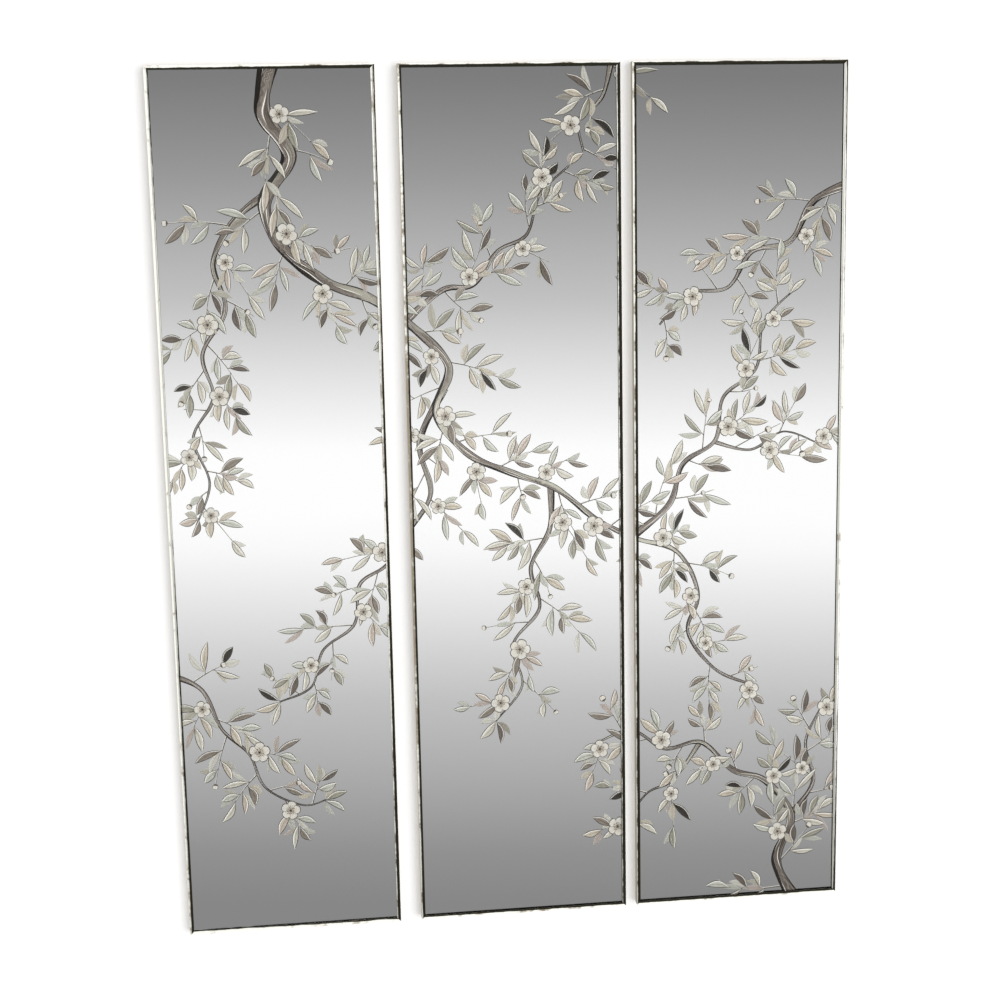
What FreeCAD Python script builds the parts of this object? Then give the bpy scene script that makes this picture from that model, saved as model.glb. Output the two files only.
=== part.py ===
"""Triptych mirror: three tall framed mirror panels that hang side by side on a wall.

Each panel is a sheet of glass in a mitred brass moulding. A blossom-bough decoration is painted in
three coats on the back of the glass and silvered over, and a plywood backboard closes the panel.
A folded bar on the back hooks over a bar on the wall, so a panel lifts straight up to come off.

Millimetres. X runs to the right, Y into the wall, Z up. The origin is at the foot of the set, midway
along its width and its depth.
"""
import FreeCAD, Part
import math
import os

V = FreeCAD.Vector

# The set
PANEL_WIDTH = 457.0
PANEL_HEIGHT = 1830.0
LEFT_GAP = 46.0
RIGHT_GAP = 25.0

# The brass moulding, an L section with a crowned lip
LIP_FACE = 8.0
LIP_BACK = 2.5
SIDE_WALL = 1.6
ARRIS_SETBACK = 2.2
RIDGE_INSET = 5.2
SIGHT_SETBACK = 1.4
OUTER_CROWN = 0.3
INNER_CROWN = 0.1

# The layers behind the lip
GLASS_THICKNESS = 3.0
GLASS_CLEARANCE = 1.0
COAT_THICKNESS = 0.25
SILVER_THICKNESS = 0.25
MASTIC_THICKNESS = 1.5
BOARD_THICKNESS = 12.0
BOARD_CLEARANCE = 0.3

# Mastic pads and the rubber blocks that the glass stands on
PAD_RADIUS = 28.0
PAD_INSET = 80.0
PAD_COLUMNS = 3
PAD_ROWS = 8
BLOCK_LENGTH = 60.0
BLOCK_INSET = 70.0

# Edge screws, through the moulding into the backboard
EDGE_SCREW_LENGTH = 15.0
EDGE_SHANK_RADIUS = 1.25
EDGE_HEAD_RADIUS = 2.5
EDGE_HEAD_DEPTH = 1.1
EDGE_SCREW_INSET = 90.0
STILE_SCREWS = 5
RAIL_SCREWS = 2
SLOT_WIDTH = 0.6
SLOT_DEPTH = 0.5
SCREW_CLEARANCE = 0.05

# The hanging bars, one on the wall and one on the panel, both of a Z section
BAR_LENGTH = 300.0
BAR_THICKNESS = 2.5
BAR_BASE = 40.0
HOOK_REACH = 12.0
HOOK_CLEARANCE = 0.3
HOOK_TIP_CLEARANCE = 1.0
BAR_DROP = 120.0
WALL_HOLE_SPACING = 200.0
WALL_HOLE_RADIUS = 2.5
BAR_SCREWS = 3
BAR_SCREW_INSET = 30.0
BAR_SCREW_LENGTH = 12.0
BAR_SHANK_RADIUS = 1.75
BAR_HEAD_RADIUS = 3.5
BAR_HEAD_DEPTH = 1.8

# Rubber bumpers at the foot of each panel's back
BUMPER_RADIUS = 9.0
BUMPER_ROUND = 1.5
BUMPER_INSET = 40.0

# The painted boughs. Each row is a width share and a tip width share of BOUGH_WIDTH, the share of the
# length where the first twig grows, and points as shares of the set's width and of its height.
BOUGH_WIDTH = 40.0
BOUGH_SHARES = (
    (1.00, 0.16, 0.05, ((0.173, 1.008), (0.160, 0.951), (0.194, 0.902), (0.157, 0.851), (0.184, 0.798),
                        (0.241, 0.762), (0.300, 0.744), (0.362, 0.709), (0.411, 0.664), (0.391, 0.612),
                        (0.437, 0.563), (0.503, 0.538), (0.565, 0.519), (0.624, 0.481), (0.683, 0.456),
                        (0.748, 0.437), (0.780, 0.385), (0.764, 0.339), (0.806, 0.292), (0.860, 0.271))),
    (0.44, 0.10, 0.08, ((0.162, 0.862), (0.114, 0.833), (0.082, 0.787), (0.096, 0.735), (0.061, 0.686),
                        (0.073, 0.637), (0.042, 0.592), (0.062, 0.540), (0.040, 0.492))),
    (0.44, 0.10, 0.10, ((0.350, 0.717), (0.405, 0.751), (0.450, 0.756), (0.485, 0.793), (0.528, 0.811),
                        (0.548, 0.855), (0.590, 0.886))),
    (0.46, 0.10, 0.07, ((0.404, 0.640), (0.366, 0.578), (0.380, 0.519), (0.345, 0.474), (0.313, 0.437),
                        (0.272, 0.415), (0.262, 0.368), (0.215, 0.339), (0.196, 0.296), (0.150, 0.280))),
    (0.40, 0.10, 0.10, ((0.558, 0.522), (0.555, 0.471), (0.526, 0.426), (0.538, 0.377), (0.497, 0.334),
                        (0.510, 0.284), (0.470, 0.243))),
    (0.46, 0.10, 0.10, ((0.680, 0.458), (0.736, 0.495), (0.757, 0.542), (0.806, 0.569), (0.818, 0.619),
                        (0.867, 0.651), (0.879, 0.705), (0.925, 0.742))),
    (0.24, 0.08, 0.20, ((0.803, 0.567), (0.860, 0.556), (0.910, 0.576), (0.965, 0.560))),
    (0.80, 0.12, 0.06, ((0.935, -0.008), (0.905, 0.045), (0.928, 0.100), (0.886, 0.148), (0.835, 0.164),
                        (0.785, 0.201), (0.728, 0.196), (0.676, 0.221), (0.618, 0.206))),
    (0.42, 0.10, 0.10, ((0.921, 0.098), (0.962, 0.142), (0.950, 0.194), (0.976, 0.240))),
    (0.30, 0.08, 0.12, ((0.782, 0.200), (0.741, 0.156), (0.699, 0.140), (0.660, 0.098))),
    (0.56, 0.12, 0.10, ((1.008, 0.862), (0.952, 0.842), (0.917, 0.797), (0.860, 0.786), (0.824, 0.746),
                        (0.763, 0.740), (0.722, 0.705))),
    (0.40, 0.10, 0.10, ((0.655, 1.008), (0.640, 0.962), (0.606, 0.937), (0.612, 0.902))),
    (0.34, 0.08, 0.10, ((-0.008, 0.318), (0.036, 0.298), (0.062, 0.250), (0.100, 0.218), (0.122, 0.176),
                        (0.176, 0.152), (0.214, 0.158))),
)
KNOT_SHARE = 0.10
KNOT_SPACING = 15.0
SPLINE_STEPS = 4

# Twigs, leaves, blossoms and buds
TWIG_WIDTH = 3.4
TWIG_TIP_WIDTH = 1.6
TWIG_REACH_LOW = 55.0
TWIG_REACH_HIGH = 125.0
TWIG_SPACING_LOW = 36.0
TWIG_SPACING_HIGH = 60.0
TWIG_ROOM = 2.5
TWIG_ROOT_SHARE = 0.7
TWIG_TAPER_SHARE = 0.25
TWIG_REACH_SHARES = (1.0, 0.7, 0.45)
TWIG_LEAN_DEGREES = (42, 68)
TWIG_CURL_SHARES = (0.02, 0.22)
TWIG_STEPS = 3
TWIG_TESTS = 4
LEAF_LENGTH_LOW = 44.0
LEAF_LENGTH_HIGH = 72.0
LEAF_WIDTH_LOW = 12.5
LEAF_WIDTH_HIGH = 18.0
LEAF_BEND_LOW = 1.0
LEAF_BEND_HIGH = 6.5
LEAF_LEAN_DEGREES = (32, 60)
LEAF_STALK = 4.0
LEAF_ROOM = 0.8
LEAF_SPOTS = 12
BLOSSOM_RADIUS_LOW = 18.0
BLOSSOM_RADIUS_HIGH = 25.0
BLOSSOM_ROOM = 2.0
PETALS = 5
PETAL_PLACE_SHARE = 0.57
PETAL_RADIUS_SHARE = 0.43
BUD_RADIUS_LOW = 5.0
BUD_RADIUS_HIGH = 7.5

# The smallest area of paint that is kept where the edge of the glass cuts the painting
SMALLEST_PATCH = 60.0

# Shares of a turn or of a range by which neighbours in the growth differ
GOLDEN_SHARE = 0.618034
PLASTIC_SHARE = 0.754878
CUBIC_SHARE = 0.569840

OVERRUN = 5.0

SET_WIDTH = 3 * PANEL_WIDTH + LEFT_GAP + RIGHT_GAP
GROOVE = BAR_THICKNESS + 2 * HOOK_CLEARANCE
BAR_DEPTH = BAR_THICKNESS + GROOVE
STAND_OFF = BAR_DEPTH + HOOK_CLEARANCE

GLASS_FRONT = LIP_BACK
BLOSSOM_FRONT = GLASS_FRONT + GLASS_THICKNESS
LEAF_FRONT = BLOSSOM_FRONT + COAT_THICKNESS
BOUGH_FRONT = LEAF_FRONT + COAT_THICKNESS
SILVER_FRONT = BOUGH_FRONT + COAT_THICKNESS
PAD_FRONT = SILVER_FRONT + SILVER_THICKNESS
BOARD_FRONT = PAD_FRONT + MASTIC_THICKNESS
PANEL_DEPTH = BOARD_FRONT + BOARD_THICKNESS

SET_FRONT = -(PANEL_DEPTH + STAND_OFF) / 2
PANEL_BACK = SET_FRONT + PANEL_DEPTH
WALL = PANEL_BACK + STAND_OFF

GLASS_INSET = SIDE_WALL + GLASS_CLEARANCE
BOARD_INSET = SIDE_WALL + BOARD_CLEARANCE
BAR_TOP = PANEL_HEIGHT - BAR_DROP
HOOK_LEVEL = BAR_TOP - BAR_BASE
LEFT_EDGES = {
    "left": -SET_WIDTH / 2,
    "centre": -SET_WIDTH / 2 + PANEL_WIDTH + LEFT_GAP,
    "right": SET_WIDTH / 2 - PANEL_WIDTH,
}


def slab(left, inset, depth, thickness):
    """A board over a whole panel, drawn in by the inset on all four sides."""
    return Part.makeBox(PANEL_WIDTH - 2 * inset, thickness, PANEL_HEIGHT - 2 * inset,
                        V(left + inset, SET_FRONT + depth, inset))


def spread(low, high, count):
    """Places from low to high, evenly apart."""
    return [low + (high - low) * i / (count - 1) for i in range(count)]


# Brass mouldings

def moulding_profile():
    """The L section, standing across X: its outer edge at Z 0, its ridge at Y 0, inwards along -Z."""
    back_outer = V(0, PANEL_DEPTH, 0)
    arris = V(0, ARRIS_SETBACK, 0)
    ridge = V(0, 0, -RIDGE_INSET)
    sight = V(0, SIGHT_SETBACK, -LIP_FACE)
    lip_back = V(0, LIP_BACK, -LIP_FACE)
    corner = V(0, LIP_BACK, -SIDE_WALL)
    back_inner = V(0, PANEL_DEPTH, -SIDE_WALL)
    outer_crown = (arris + ridge) * 0.5 - V(0, OUTER_CROWN, 0)
    inner_crown = (ridge + sight) * 0.5 - V(0, INNER_CROWN, 0)
    edges = [
        Part.LineSegment(back_outer, arris).toShape(),
        Part.Arc(arris, outer_crown, ridge).toShape(),
        Part.Arc(ridge, inner_crown, sight).toShape(),
        Part.LineSegment(sight, lip_back).toShape(),
        Part.LineSegment(lip_back, corner).toShape(),
        Part.LineSegment(corner, back_inner).toShape(),
        Part.LineSegment(back_inner, back_outer).toShape(),
    ]
    return Part.Face(Part.Wire(edges))


def moulding(length):
    """A mitred length along +X from the origin, outer edge at Z 0."""
    bar = moulding_profile().extrude(V(length, 0, 0))
    mitre = Part.Face(Part.makePolygon([
        V(0, -OVERRUN, 0), V(length, -OVERRUN, 0), V(length - LIP_FACE, -OVERRUN, -LIP_FACE),
        V(LIP_FACE, -OVERRUN, -LIP_FACE), V(0, -OVERRUN, 0)]))
    return bar.common(mitre.extrude(V(0, PANEL_DEPTH + 2 * OVERRUN, 0)))


def screw(length, shank_radius, head_radius, head_depth, room=0.0):
    """A countersunk screw along +Z, its head's face at Z 0. With room it is the hole for it."""
    head = Part.makeCone(head_radius + room, shank_radius + room, head_depth)
    shank = Part.makeCylinder(shank_radius + room, length)
    body = head.fuse(shank).removeSplitter()
    if room:
        return body
    slot = Part.makeBox(2 * head_radius, SLOT_WIDTH, SLOT_DEPTH, V(-head_radius, -SLOT_WIDTH / 2, 0))
    return body.cut(slot)


def aimed(shape, place, direction):
    """The shape moved from the origin to the place, its +Z turned to the direction."""
    out = shape.copy()
    out.Placement = FreeCAD.Placement(place, FreeCAD.Rotation(V(0, 0, 1), direction))
    return out


def edge_screw_places(left):
    """Each side's name, with the places of its screws and the way that they point."""
    depth = SET_FRONT + BOARD_FRONT + BOARD_THICKNESS / 2
    right = left + PANEL_WIDTH
    heights = spread(EDGE_SCREW_INSET, PANEL_HEIGHT - EDGE_SCREW_INSET, STILE_SCREWS)
    across = spread(left + EDGE_SCREW_INSET, right - EDGE_SCREW_INSET, RAIL_SCREWS)
    return {
        "left_stile": ([V(left, depth, z) for z in heights], V(1, 0, 0)),
        "right_stile": ([V(right, depth, z) for z in heights], V(-1, 0, 0)),
        "bottom_rail": ([V(x, depth, 0) for x in across], V(0, 0, 1)),
        "top_rail": ([V(x, depth, PANEL_HEIGHT) for x in across], V(0, 0, -1)),
    }


def edge_screw(room=0.0):
    return screw(EDGE_SCREW_LENGTH, EDGE_SHANK_RADIUS, EDGE_HEAD_RADIUS, EDGE_HEAD_DEPTH, room)


def frame_sides(left):
    """The four mouldings round a panel, with the holes for their screws."""
    right = left + PANEL_WIDTH
    corners = {
        "top_rail": (PANEL_WIDTH, V(left, SET_FRONT, PANEL_HEIGHT), 0),
        "right_stile": (PANEL_HEIGHT, V(right, SET_FRONT, PANEL_HEIGHT), 90),
        "bottom_rail": (PANEL_WIDTH, V(right, SET_FRONT, 0), 180),
        "left_stile": (PANEL_HEIGHT, V(left, SET_FRONT, 0), 270),
    }
    hole = edge_screw(SCREW_CLEARANCE)
    places = edge_screw_places(left)
    sides = {}
    for name, (length, corner, turn) in corners.items():
        bar = moulding(length)
        bar.Placement = FreeCAD.Placement(corner, FreeCAD.Rotation(V(0, 1, 0), turn))
        points, direction = places[name]
        sides[name] = bar.cut([aimed(hole, point, direction) for point in points])
    return sides


def edge_screws(left):
    shape = edge_screw()
    return Part.Compound([aimed(shape, point, direction)
                          for points, direction in edge_screw_places(left).values() for point in points])


# Backboard and what lies between it and the glass

def bar_screw_places(left):
    middle = left + PANEL_WIDTH / 2
    half = BAR_LENGTH / 2 - BAR_SCREW_INSET
    return [V(x, PANEL_BACK + BAR_THICKNESS, HOOK_LEVEL + (BAR_THICKNESS + BAR_BASE) / 2)
            for x in spread(middle - half, middle + half, BAR_SCREWS)]


def bar_screw(room=0.0):
    return screw(BAR_SCREW_LENGTH, BAR_SHANK_RADIUS, BAR_HEAD_RADIUS, BAR_HEAD_DEPTH, room)


def backboard(left):
    edge_hole = edge_screw(SCREW_CLEARANCE)
    bar_hole = bar_screw(SCREW_CLEARANCE)
    holes = [aimed(edge_hole, point, direction)
             for points, direction in edge_screw_places(left).values() for point in points]
    holes += [aimed(bar_hole, point, V(0, -1, 0)) for point in bar_screw_places(left)]
    return slab(left, BOARD_INSET, BOARD_FRONT, BOARD_THICKNESS).cut(holes)


def mastic_pads(left):
    return Part.Compound([
        Part.makeCylinder(PAD_RADIUS, MASTIC_THICKNESS, V(x, SET_FRONT + PAD_FRONT, z), V(0, 1, 0))
        for x in spread(left + PAD_INSET, left + PANEL_WIDTH - PAD_INSET, PAD_COLUMNS)
        for z in spread(PAD_INSET, PANEL_HEIGHT - PAD_INSET, PAD_ROWS)])


def setting_blocks(left):
    """Two strips between the bottom rail and the foot of the glass."""
    places = (left + BLOCK_INSET, left + PANEL_WIDTH - BLOCK_INSET - BLOCK_LENGTH)
    return Part.Compound([
        Part.makeBox(BLOCK_LENGTH, GLASS_THICKNESS, GLASS_CLEARANCE,
                     V(x, SET_FRONT + GLASS_FRONT, SIDE_WALL)) for x in places])


# Hanging bars

def z_bar(length, reach):
    """A bar along X whose base lies on Y 0, with a hook flange that stands out and up from it."""
    near = -BAR_THICKNESS
    hook_near = -GROOVE
    hook_far = -BAR_DEPTH
    web = BAR_BASE - BAR_THICKNESS
    tip = BAR_BASE + reach
    outline = [V(0, 0, 0), V(0, 0, BAR_BASE), V(0, hook_near, BAR_BASE), V(0, hook_near, tip),
               V(0, hook_far, tip), V(0, hook_far, web), V(0, near, web), V(0, near, 0), V(0, 0, 0)]
    return Part.Face(Part.makePolygon(outline)).extrude(V(length, 0, 0))


def wall_bar(left):
    """The bar on the wall, with its holes for the wall's own screws."""
    start = left + (PANEL_WIDTH - BAR_LENGTH) / 2
    bottom = HOOK_LEVEL - HOOK_REACH - BAR_BASE
    bar = z_bar(BAR_LENGTH, HOOK_REACH)
    bar.translate(V(start, WALL, bottom))
    middle = left + PANEL_WIDTH / 2
    holes = [Part.makeCylinder(WALL_HOLE_RADIUS, BAR_THICKNESS + 2 * OVERRUN,
                               V(x, WALL - BAR_THICKNESS - OVERRUN, bottom + BAR_BASE / 2), V(0, 1, 0))
             for x in spread(middle - WALL_HOLE_SPACING / 2, middle + WALL_HOLE_SPACING / 2, 2)]
    return bar.cut(holes)


def hook_bar(left):
    """The same section turned over on the panel's back, its web resting on the wall bar's hook."""
    start = left + (PANEL_WIDTH - BAR_LENGTH) / 2
    bar = z_bar(BAR_LENGTH, HOOK_REACH - HOOK_TIP_CLEARANCE)
    bar.rotate(V(0, 0, 0), V(1, 0, 0), 180)
    bar.translate(V(start, PANEL_BACK, HOOK_LEVEL + BAR_BASE))
    hole = bar_screw(SCREW_CLEARANCE)
    return bar.cut([aimed(hole, point, V(0, -1, 0)) for point in bar_screw_places(left)])


def hook_bar_screws(left):
    shape = bar_screw()
    return Part.Compound([aimed(shape, point, V(0, -1, 0)) for point in bar_screw_places(left)])


def bumpers(left):
    disc = Part.makeCylinder(BUMPER_RADIUS, STAND_OFF)
    rim = [edge for edge in disc.Edges if edge.BoundBox.ZMin > STAND_OFF / 2]
    disc = disc.makeFillet(BUMPER_ROUND, rim)
    return Part.Compound([aimed(disc, V(x, PANEL_BACK, BUMPER_INSET), V(0, 1, 0))
                          for x in (left + BUMPER_INSET, left + PANEL_WIDTH - BUMPER_INSET)])


# Painted decoration, laid out once over the whole set

def vary(count, low, high, share):
    """A value from low to high that steps round by the share with each count."""
    return low + (high - low) * ((count * share) % 1.0)


def smooth(points):
    """A Catmull-Rom line through the points, SPLINE_STEPS to each stretch."""
    ends = [points[0]] + points + [points[-1]]
    line = []
    for a, b, c, d in zip(ends, ends[1:], ends[2:], ends[3:]):
        for step in range(SPLINE_STEPS):
            t = step / SPLINE_STEPS
            line.append(tuple(
                0.5 * (2 * q + (r - p) * t + (2 * p - 5 * q + 4 * r - s) * t ** 2
                       + (3 * q - p - 3 * r + s) * t ** 3) for p, q, r, s in zip(a, b, c, d)))
    return line + [points[-1]]


def along(stem, distance):
    """The point at this distance along the stem, the way it runs there, and half its width."""
    for (x0, z0, half), (x1, z1, _) in zip(stem, stem[1:]):
        step = math.hypot(x1 - x0, z1 - z0)
        if distance <= step:
            break
        distance -= step
    way = ((x1 - x0) / step, (z1 - z0) / step)
    distance = min(distance, step)
    return (x0 + way[0] * distance, z0 + way[1] * distance), way, half


def turned(way, angle):
    return (way[0] * math.cos(angle) - way[1] * math.sin(angle),
            way[0] * math.sin(angle) + way[1] * math.cos(angle))


def leaf_point(leaf, share, side):
    """A point of a leaf: share of its length, side -1 to 1 of its half width at that share."""
    (x, z), way, length, width, bend = leaf
    arch = 4 * share * (1 - share)
    out = length * share
    up = (bend + side * width / 2) * arch
    return (x + way[0] * out - way[1] * up, z + way[1] * out + way[0] * up)


def leaf_spots(leaf):
    """Circles down the leaf, as x, z and radius, for the test that leaves keep apart."""
    shares = [(i + 0.5) / LEAF_SPOTS for i in range(LEAF_SPOTS)]
    return [leaf_point(leaf, share, 0) + (2 * leaf[3] * share * (1 - share),) for share in shares]


def meet(spots, others, room):
    return any(math.hypot(a[0] - b[0], a[1] - b[1]) < a[2] + b[2] + room for a in spots for b in others)


def is_free(leaf, leaves):
    """True if the leaf keeps LEAF_ROOM from every leaf that is there."""
    centre = leaf_point(leaf, 0.5, 0)
    spots = leaf_spots(leaf)
    for other in leaves:
        if math.dist(centre, leaf_point(other, 0.5, 0)) < (leaf[2] + other[2]) / 2 + LEAF_ROOM:
            if meet(spots, leaf_spots(other), LEAF_ROOM):
                return False
    return True


def length_of(line):
    return sum(math.dist(a[:2], b[:2]) for a, b in zip(line, line[1:]))


def tapered(line, width, tip_width):
    """The line's points with half the stem's width at each: it thins to the tip, with slow knots."""
    total, gone, stem = length_of(line), 0.0, []
    for before, point in zip([line[0]] + line, line):
        gone += math.dist(before, point)
        knot = 1 + KNOT_SHARE * math.sin(gone / KNOT_SPACING)
        stem.append(point + ((width + (tip_width - width) * math.sqrt(gone / total)) * knot / 2,))
    return stem


def touches(point, stem):
    """True if the point comes within TWIG_ROOM of the stem's edge."""
    for (x0, z0, half), (x1, z1, _) in zip(stem, stem[1:]):
        run = (x1 - x0) ** 2 + (z1 - z0) ** 2
        share = ((point[0] - x0) * (x1 - x0) + (point[1] - z0) * (z1 - z0)) / run
        share = min(max(share, 0), 1)
        away = math.hypot(point[0] - x0 - share * (x1 - x0), point[1] - z0 - share * (z1 - z0))
        if away < half + TWIG_ROOM:
            return True
    return False


def grow_twig(start, way, count, side, size):
    """A twig that leans out from its bough and curls back along it."""
    lean = side * math.radians(vary(count, *TWIG_LEAN_DEGREES, GOLDEN_SHARE))
    reach = vary(count, TWIG_REACH_LOW, TWIG_REACH_HIGH, PLASTIC_SHARE) * size
    curl = -side * vary(count, *TWIG_CURL_SHARES, CUBIC_SHARE) * reach
    out = turned(way, lean)
    shares = [i / TWIG_STEPS for i in range(TWIG_STEPS + 1)]
    line = [(start[0] + out[0] * reach * t - out[1] * curl * t * t,
             start[1] + out[1] * reach * t + out[0] * curl * t * t) for t in shares]
    return tapered(line, TWIG_WIDTH, TWIG_TIP_WIDTH)


def grow_leaf(place, way, count, size, hand):
    """A leaf on a short stalk."""
    start = (place[0] + way[0] * LEAF_STALK, place[1] + way[1] * LEAF_STALK)
    return (start, way, vary(count, LEAF_LENGTH_LOW, LEAF_LENGTH_HIGH, CUBIC_SHARE) * size,
            vary(count, LEAF_WIDTH_LOW, LEAF_WIDTH_HIGH, GOLDEN_SHARE),
            hand * vary(count, LEAF_BEND_LOW, LEAF_BEND_HIGH, PLASTIC_SHARE))


def free_twig(start, way, count, side, size, own, others):
    """The longest twig that keeps clear of all other stems, and of its own past its root, or None."""
    for share in TWIG_REACH_SHARES:
        twig = grow_twig(start, way, count, side, size * share)
        points = [(a[0] + (b[0] - a[0]) * i / TWIG_TESTS, a[1] + (b[1] - a[1]) * i / TWIG_TESTS)
                  for a, b in zip(twig, twig[1:]) for i in range(1, TWIG_TESTS + 1)]
        if not any(touches(point, own) for point in points[TWIG_TESTS - 1:]):
            if not any(touches(point, stem) for stem in others for point in points):
                return twig
    return None


def grow():
    """All boughs and twigs, leaves, blossoms and buds."""
    stems, leaves, blooms, buds = [], [], [], []
    for width_share, tip_share, first_share, shares in BOUGH_SHARES:
        line = smooth([(SET_WIDTH * (across - 0.5), PANEL_HEIGHT * up) for across, up in shares])
        stems.append(tapered(line, BOUGH_WIDTH * width_share, BOUGH_WIDTH * tip_share))
    count = 0
    for bough, (width_share, tip_share, first_share, shares) in enumerate(BOUGH_SHARES):
        line = stems[bough]
        total = length_of(line)
        place, side = total * first_share, -1
        while place < total:
            count += 1
            side = -side
            middle, way, half = along(line, place)
            out = half * TWIG_ROOT_SHARE * side
            start = (middle[0] - way[1] * out, middle[1] + way[0] * out)
            size = 1 - TWIG_TAPER_SHARE * place / total
            place += vary(count, TWIG_SPACING_LOW, TWIG_SPACING_HIGH, PLASTIC_SHARE)
            others = [stem for stem in stems if stem is not line]
            twig = free_twig(start, way, count, side, size, line, others)
            if twig is None:
                continue
            reach = length_of(twig)
            stems.append(twig)
            pairs = 3 + count % 3
            for i in range(pairs + 1):
                at_tip = i == pairs
                spot, run, _ = along(twig, reach * (1 if at_tip else 0.3 + 0.58 * i / pairs))
                hand = 1 if (i + count) % 2 else -1
                number = count * 7 + i
                lean = 0 if at_tip else hand * math.radians(vary(number, *LEAF_LEAN_DEGREES, PLASTIC_SHARE))
                if at_tip and count % 3 == 0:
                    radius = vary(number, BUD_RADIUS_LOW, BUD_RADIUS_HIGH, GOLDEN_SHARE)
                    bud = (spot[0] + run[0] * radius, spot[1] + run[1] * radius, radius)
                    if not meet([bud], blooms + buds, BLOSSOM_ROOM):
                        buds.append(bud)
                    continue
                leaf = grow_leaf(spot, turned(run, lean), number, size, hand)
                if is_free(leaf, leaves):
                    leaves.append(leaf)
            if count % 3 == 1:
                bloom = along(twig, reach * 0.25)[0] + (
                    vary(count, BLOSSOM_RADIUS_LOW, BLOSSOM_RADIUS_HIGH, CUBIC_SHARE),)
                if not meet([bloom], blooms + buds, BLOSSOM_ROOM):
                    blooms.append(bloom)
        end, way, _ = along(line, total)
        for lean in (0, 0.9, -0.9):
            count += 1
            leaf = grow_leaf(end, turned(way, lean), count * 7, 1 - TWIG_TAPER_SHARE, 1)
            if is_free(leaf, leaves):
                leaves.append(leaf)
    return stems, leaves, blooms, buds


def flat(point):
    return V(point[0], 0, point[1])


def stem_face(stem):
    """A bough or twig as a flat strip with curved sides."""
    near, far = [], []
    for i, (x, z, half) in enumerate(stem):
        before, after = stem[max(i - 1, 0)], stem[min(i + 1, len(stem) - 1)]
        run = math.dist(before[:2], after[:2])
        way = ((after[0] - before[0]) / run, (after[1] - before[1]) / run)
        near.append(V(x - way[1] * half, 0, z + way[0] * half))
        far.append(V(x + way[1] * half, 0, z - way[0] * half))
    sides = []
    for points in (near, far):
        curve = Part.BSplineCurve()
        curve.interpolate(points)
        sides.append(curve.toShape())
    ends = [Part.LineSegment(near[-1], far[-1]).toShape(), Part.LineSegment(near[0], far[0]).toShape()]
    return Part.Face(Part.Wire(Part.__sortEdges__(sides + ends)))


def leaf_face(leaf):
    """A leaf as a pointed shape between two arcs."""
    base, tip = flat(leaf_point(leaf, 0, 0)), flat(leaf_point(leaf, 1, 0))
    upper, lower = flat(leaf_point(leaf, 0.5, 1)), flat(leaf_point(leaf, 0.5, -1))
    return Part.Face(Part.Wire([Part.Arc(base, upper, tip).toShape(), Part.Arc(tip, lower, base).toShape()]))


def bloom_face(bloom):
    """A blossom as arcs of equal petals, from notch to notch."""
    x, z, radius = bloom
    half_turn = math.pi / PETALS
    place, petal = radius * PETAL_PLACE_SHARE, radius * PETAL_RADIUS_SHARE
    notch = place * math.cos(half_turn) + math.sqrt(petal ** 2 - (place * math.sin(half_turn)) ** 2)
    start = x + z
    arcs = []
    for i in range(PETALS):
        middle = start + 2 * half_turn * i
        points = [V(x + r * math.cos(angle), 0, z + r * math.sin(angle)) for r, angle in (
            (notch, middle - half_turn), (place + petal, middle), (notch, middle + half_turn))]
        arcs.append(Part.Arc(*points).toShape())
    return Part.Face(Part.Wire(arcs))


def bud_face(bud):
    return Part.Face(Part.Wire(Part.makeCircle(bud[2], V(bud[0], 0, bud[1]), V(0, 1, 0))))


def pane(left):
    """The glass of a panel as a flat face, which the painting is cut to."""
    return Part.Face(Part.makePolygon([
        V(left + GLASS_INSET, 0, GLASS_INSET), V(left + PANEL_WIDTH - GLASS_INSET, 0, GLASS_INSET),
        V(left + PANEL_WIDTH - GLASS_INSET, 0, PANEL_HEIGHT - GLASS_INSET),
        V(left + GLASS_INSET, 0, PANEL_HEIGHT - GLASS_INSET), V(left + GLASS_INSET, 0, GLASS_INSET)]))


def cut_to(area, faces):
    """The faces that lie on the area, cut where they cross its edge."""
    box, kept = area.BoundBox, []
    for face in faces:
        if box.isInside(face.BoundBox):
            kept.append(face)
        elif box.intersect(face.BoundBox):
            kept += [part for part in face.common(area).Faces if part.Area > SMALLEST_PATCH]
    return kept


def coat(faces, depth):
    """Flat faces made a coat of paint at this depth behind the set's front."""
    solids = []
    for face in faces:
        solid = face.extrude(V(0, COAT_THICKNESS, 0))
        solid.translate(V(0, SET_FRONT + depth, 0))
        solids.append(solid)
    return Part.Compound(solids)


def joined(faces):
    """Overlapping flat faces as one outline for each island, without crumbs."""
    split = faces[0].multiFuse(faces[1:])
    islands = Part.Shell(split.Faces).removeSplitter().Faces
    return [island for island in islands if island.Area > SMALLEST_PATCH]


def panel(side, painting):
    """Every piece of one panel and its wall bar, by node name."""
    left = LEFT_EDGES[side]
    stems, leaves, blooms = painting
    area = pane(left)
    pieces = frame_sides(left)
    pieces["edge_screws"] = edge_screws(left)
    pieces["glass"] = slab(left, GLASS_INSET, GLASS_FRONT, GLASS_THICKNESS)
    pieces["blossoms"] = coat(cut_to(area, blooms), BLOSSOM_FRONT)
    pieces["leaves"] = coat(cut_to(area, leaves), LEAF_FRONT)
    pieces["boughs"] = coat(joined(cut_to(area, stems)), BOUGH_FRONT)
    pieces["silvering"] = slab(left, GLASS_INSET, SILVER_FRONT, SILVER_THICKNESS)
    pieces["mastic_pads"] = mastic_pads(left)
    pieces["setting_blocks"] = setting_blocks(left)
    pieces["backboard"] = backboard(left)
    pieces["hook_bar"] = hook_bar(left)
    pieces["hook_bar_screws"] = hook_bar_screws(left)
    pieces["bumpers"] = bumpers(left)
    pieces["wall_bar"] = wall_bar(left)
    return {side + "_" + name: shape for name, shape in pieces.items()}


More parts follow.
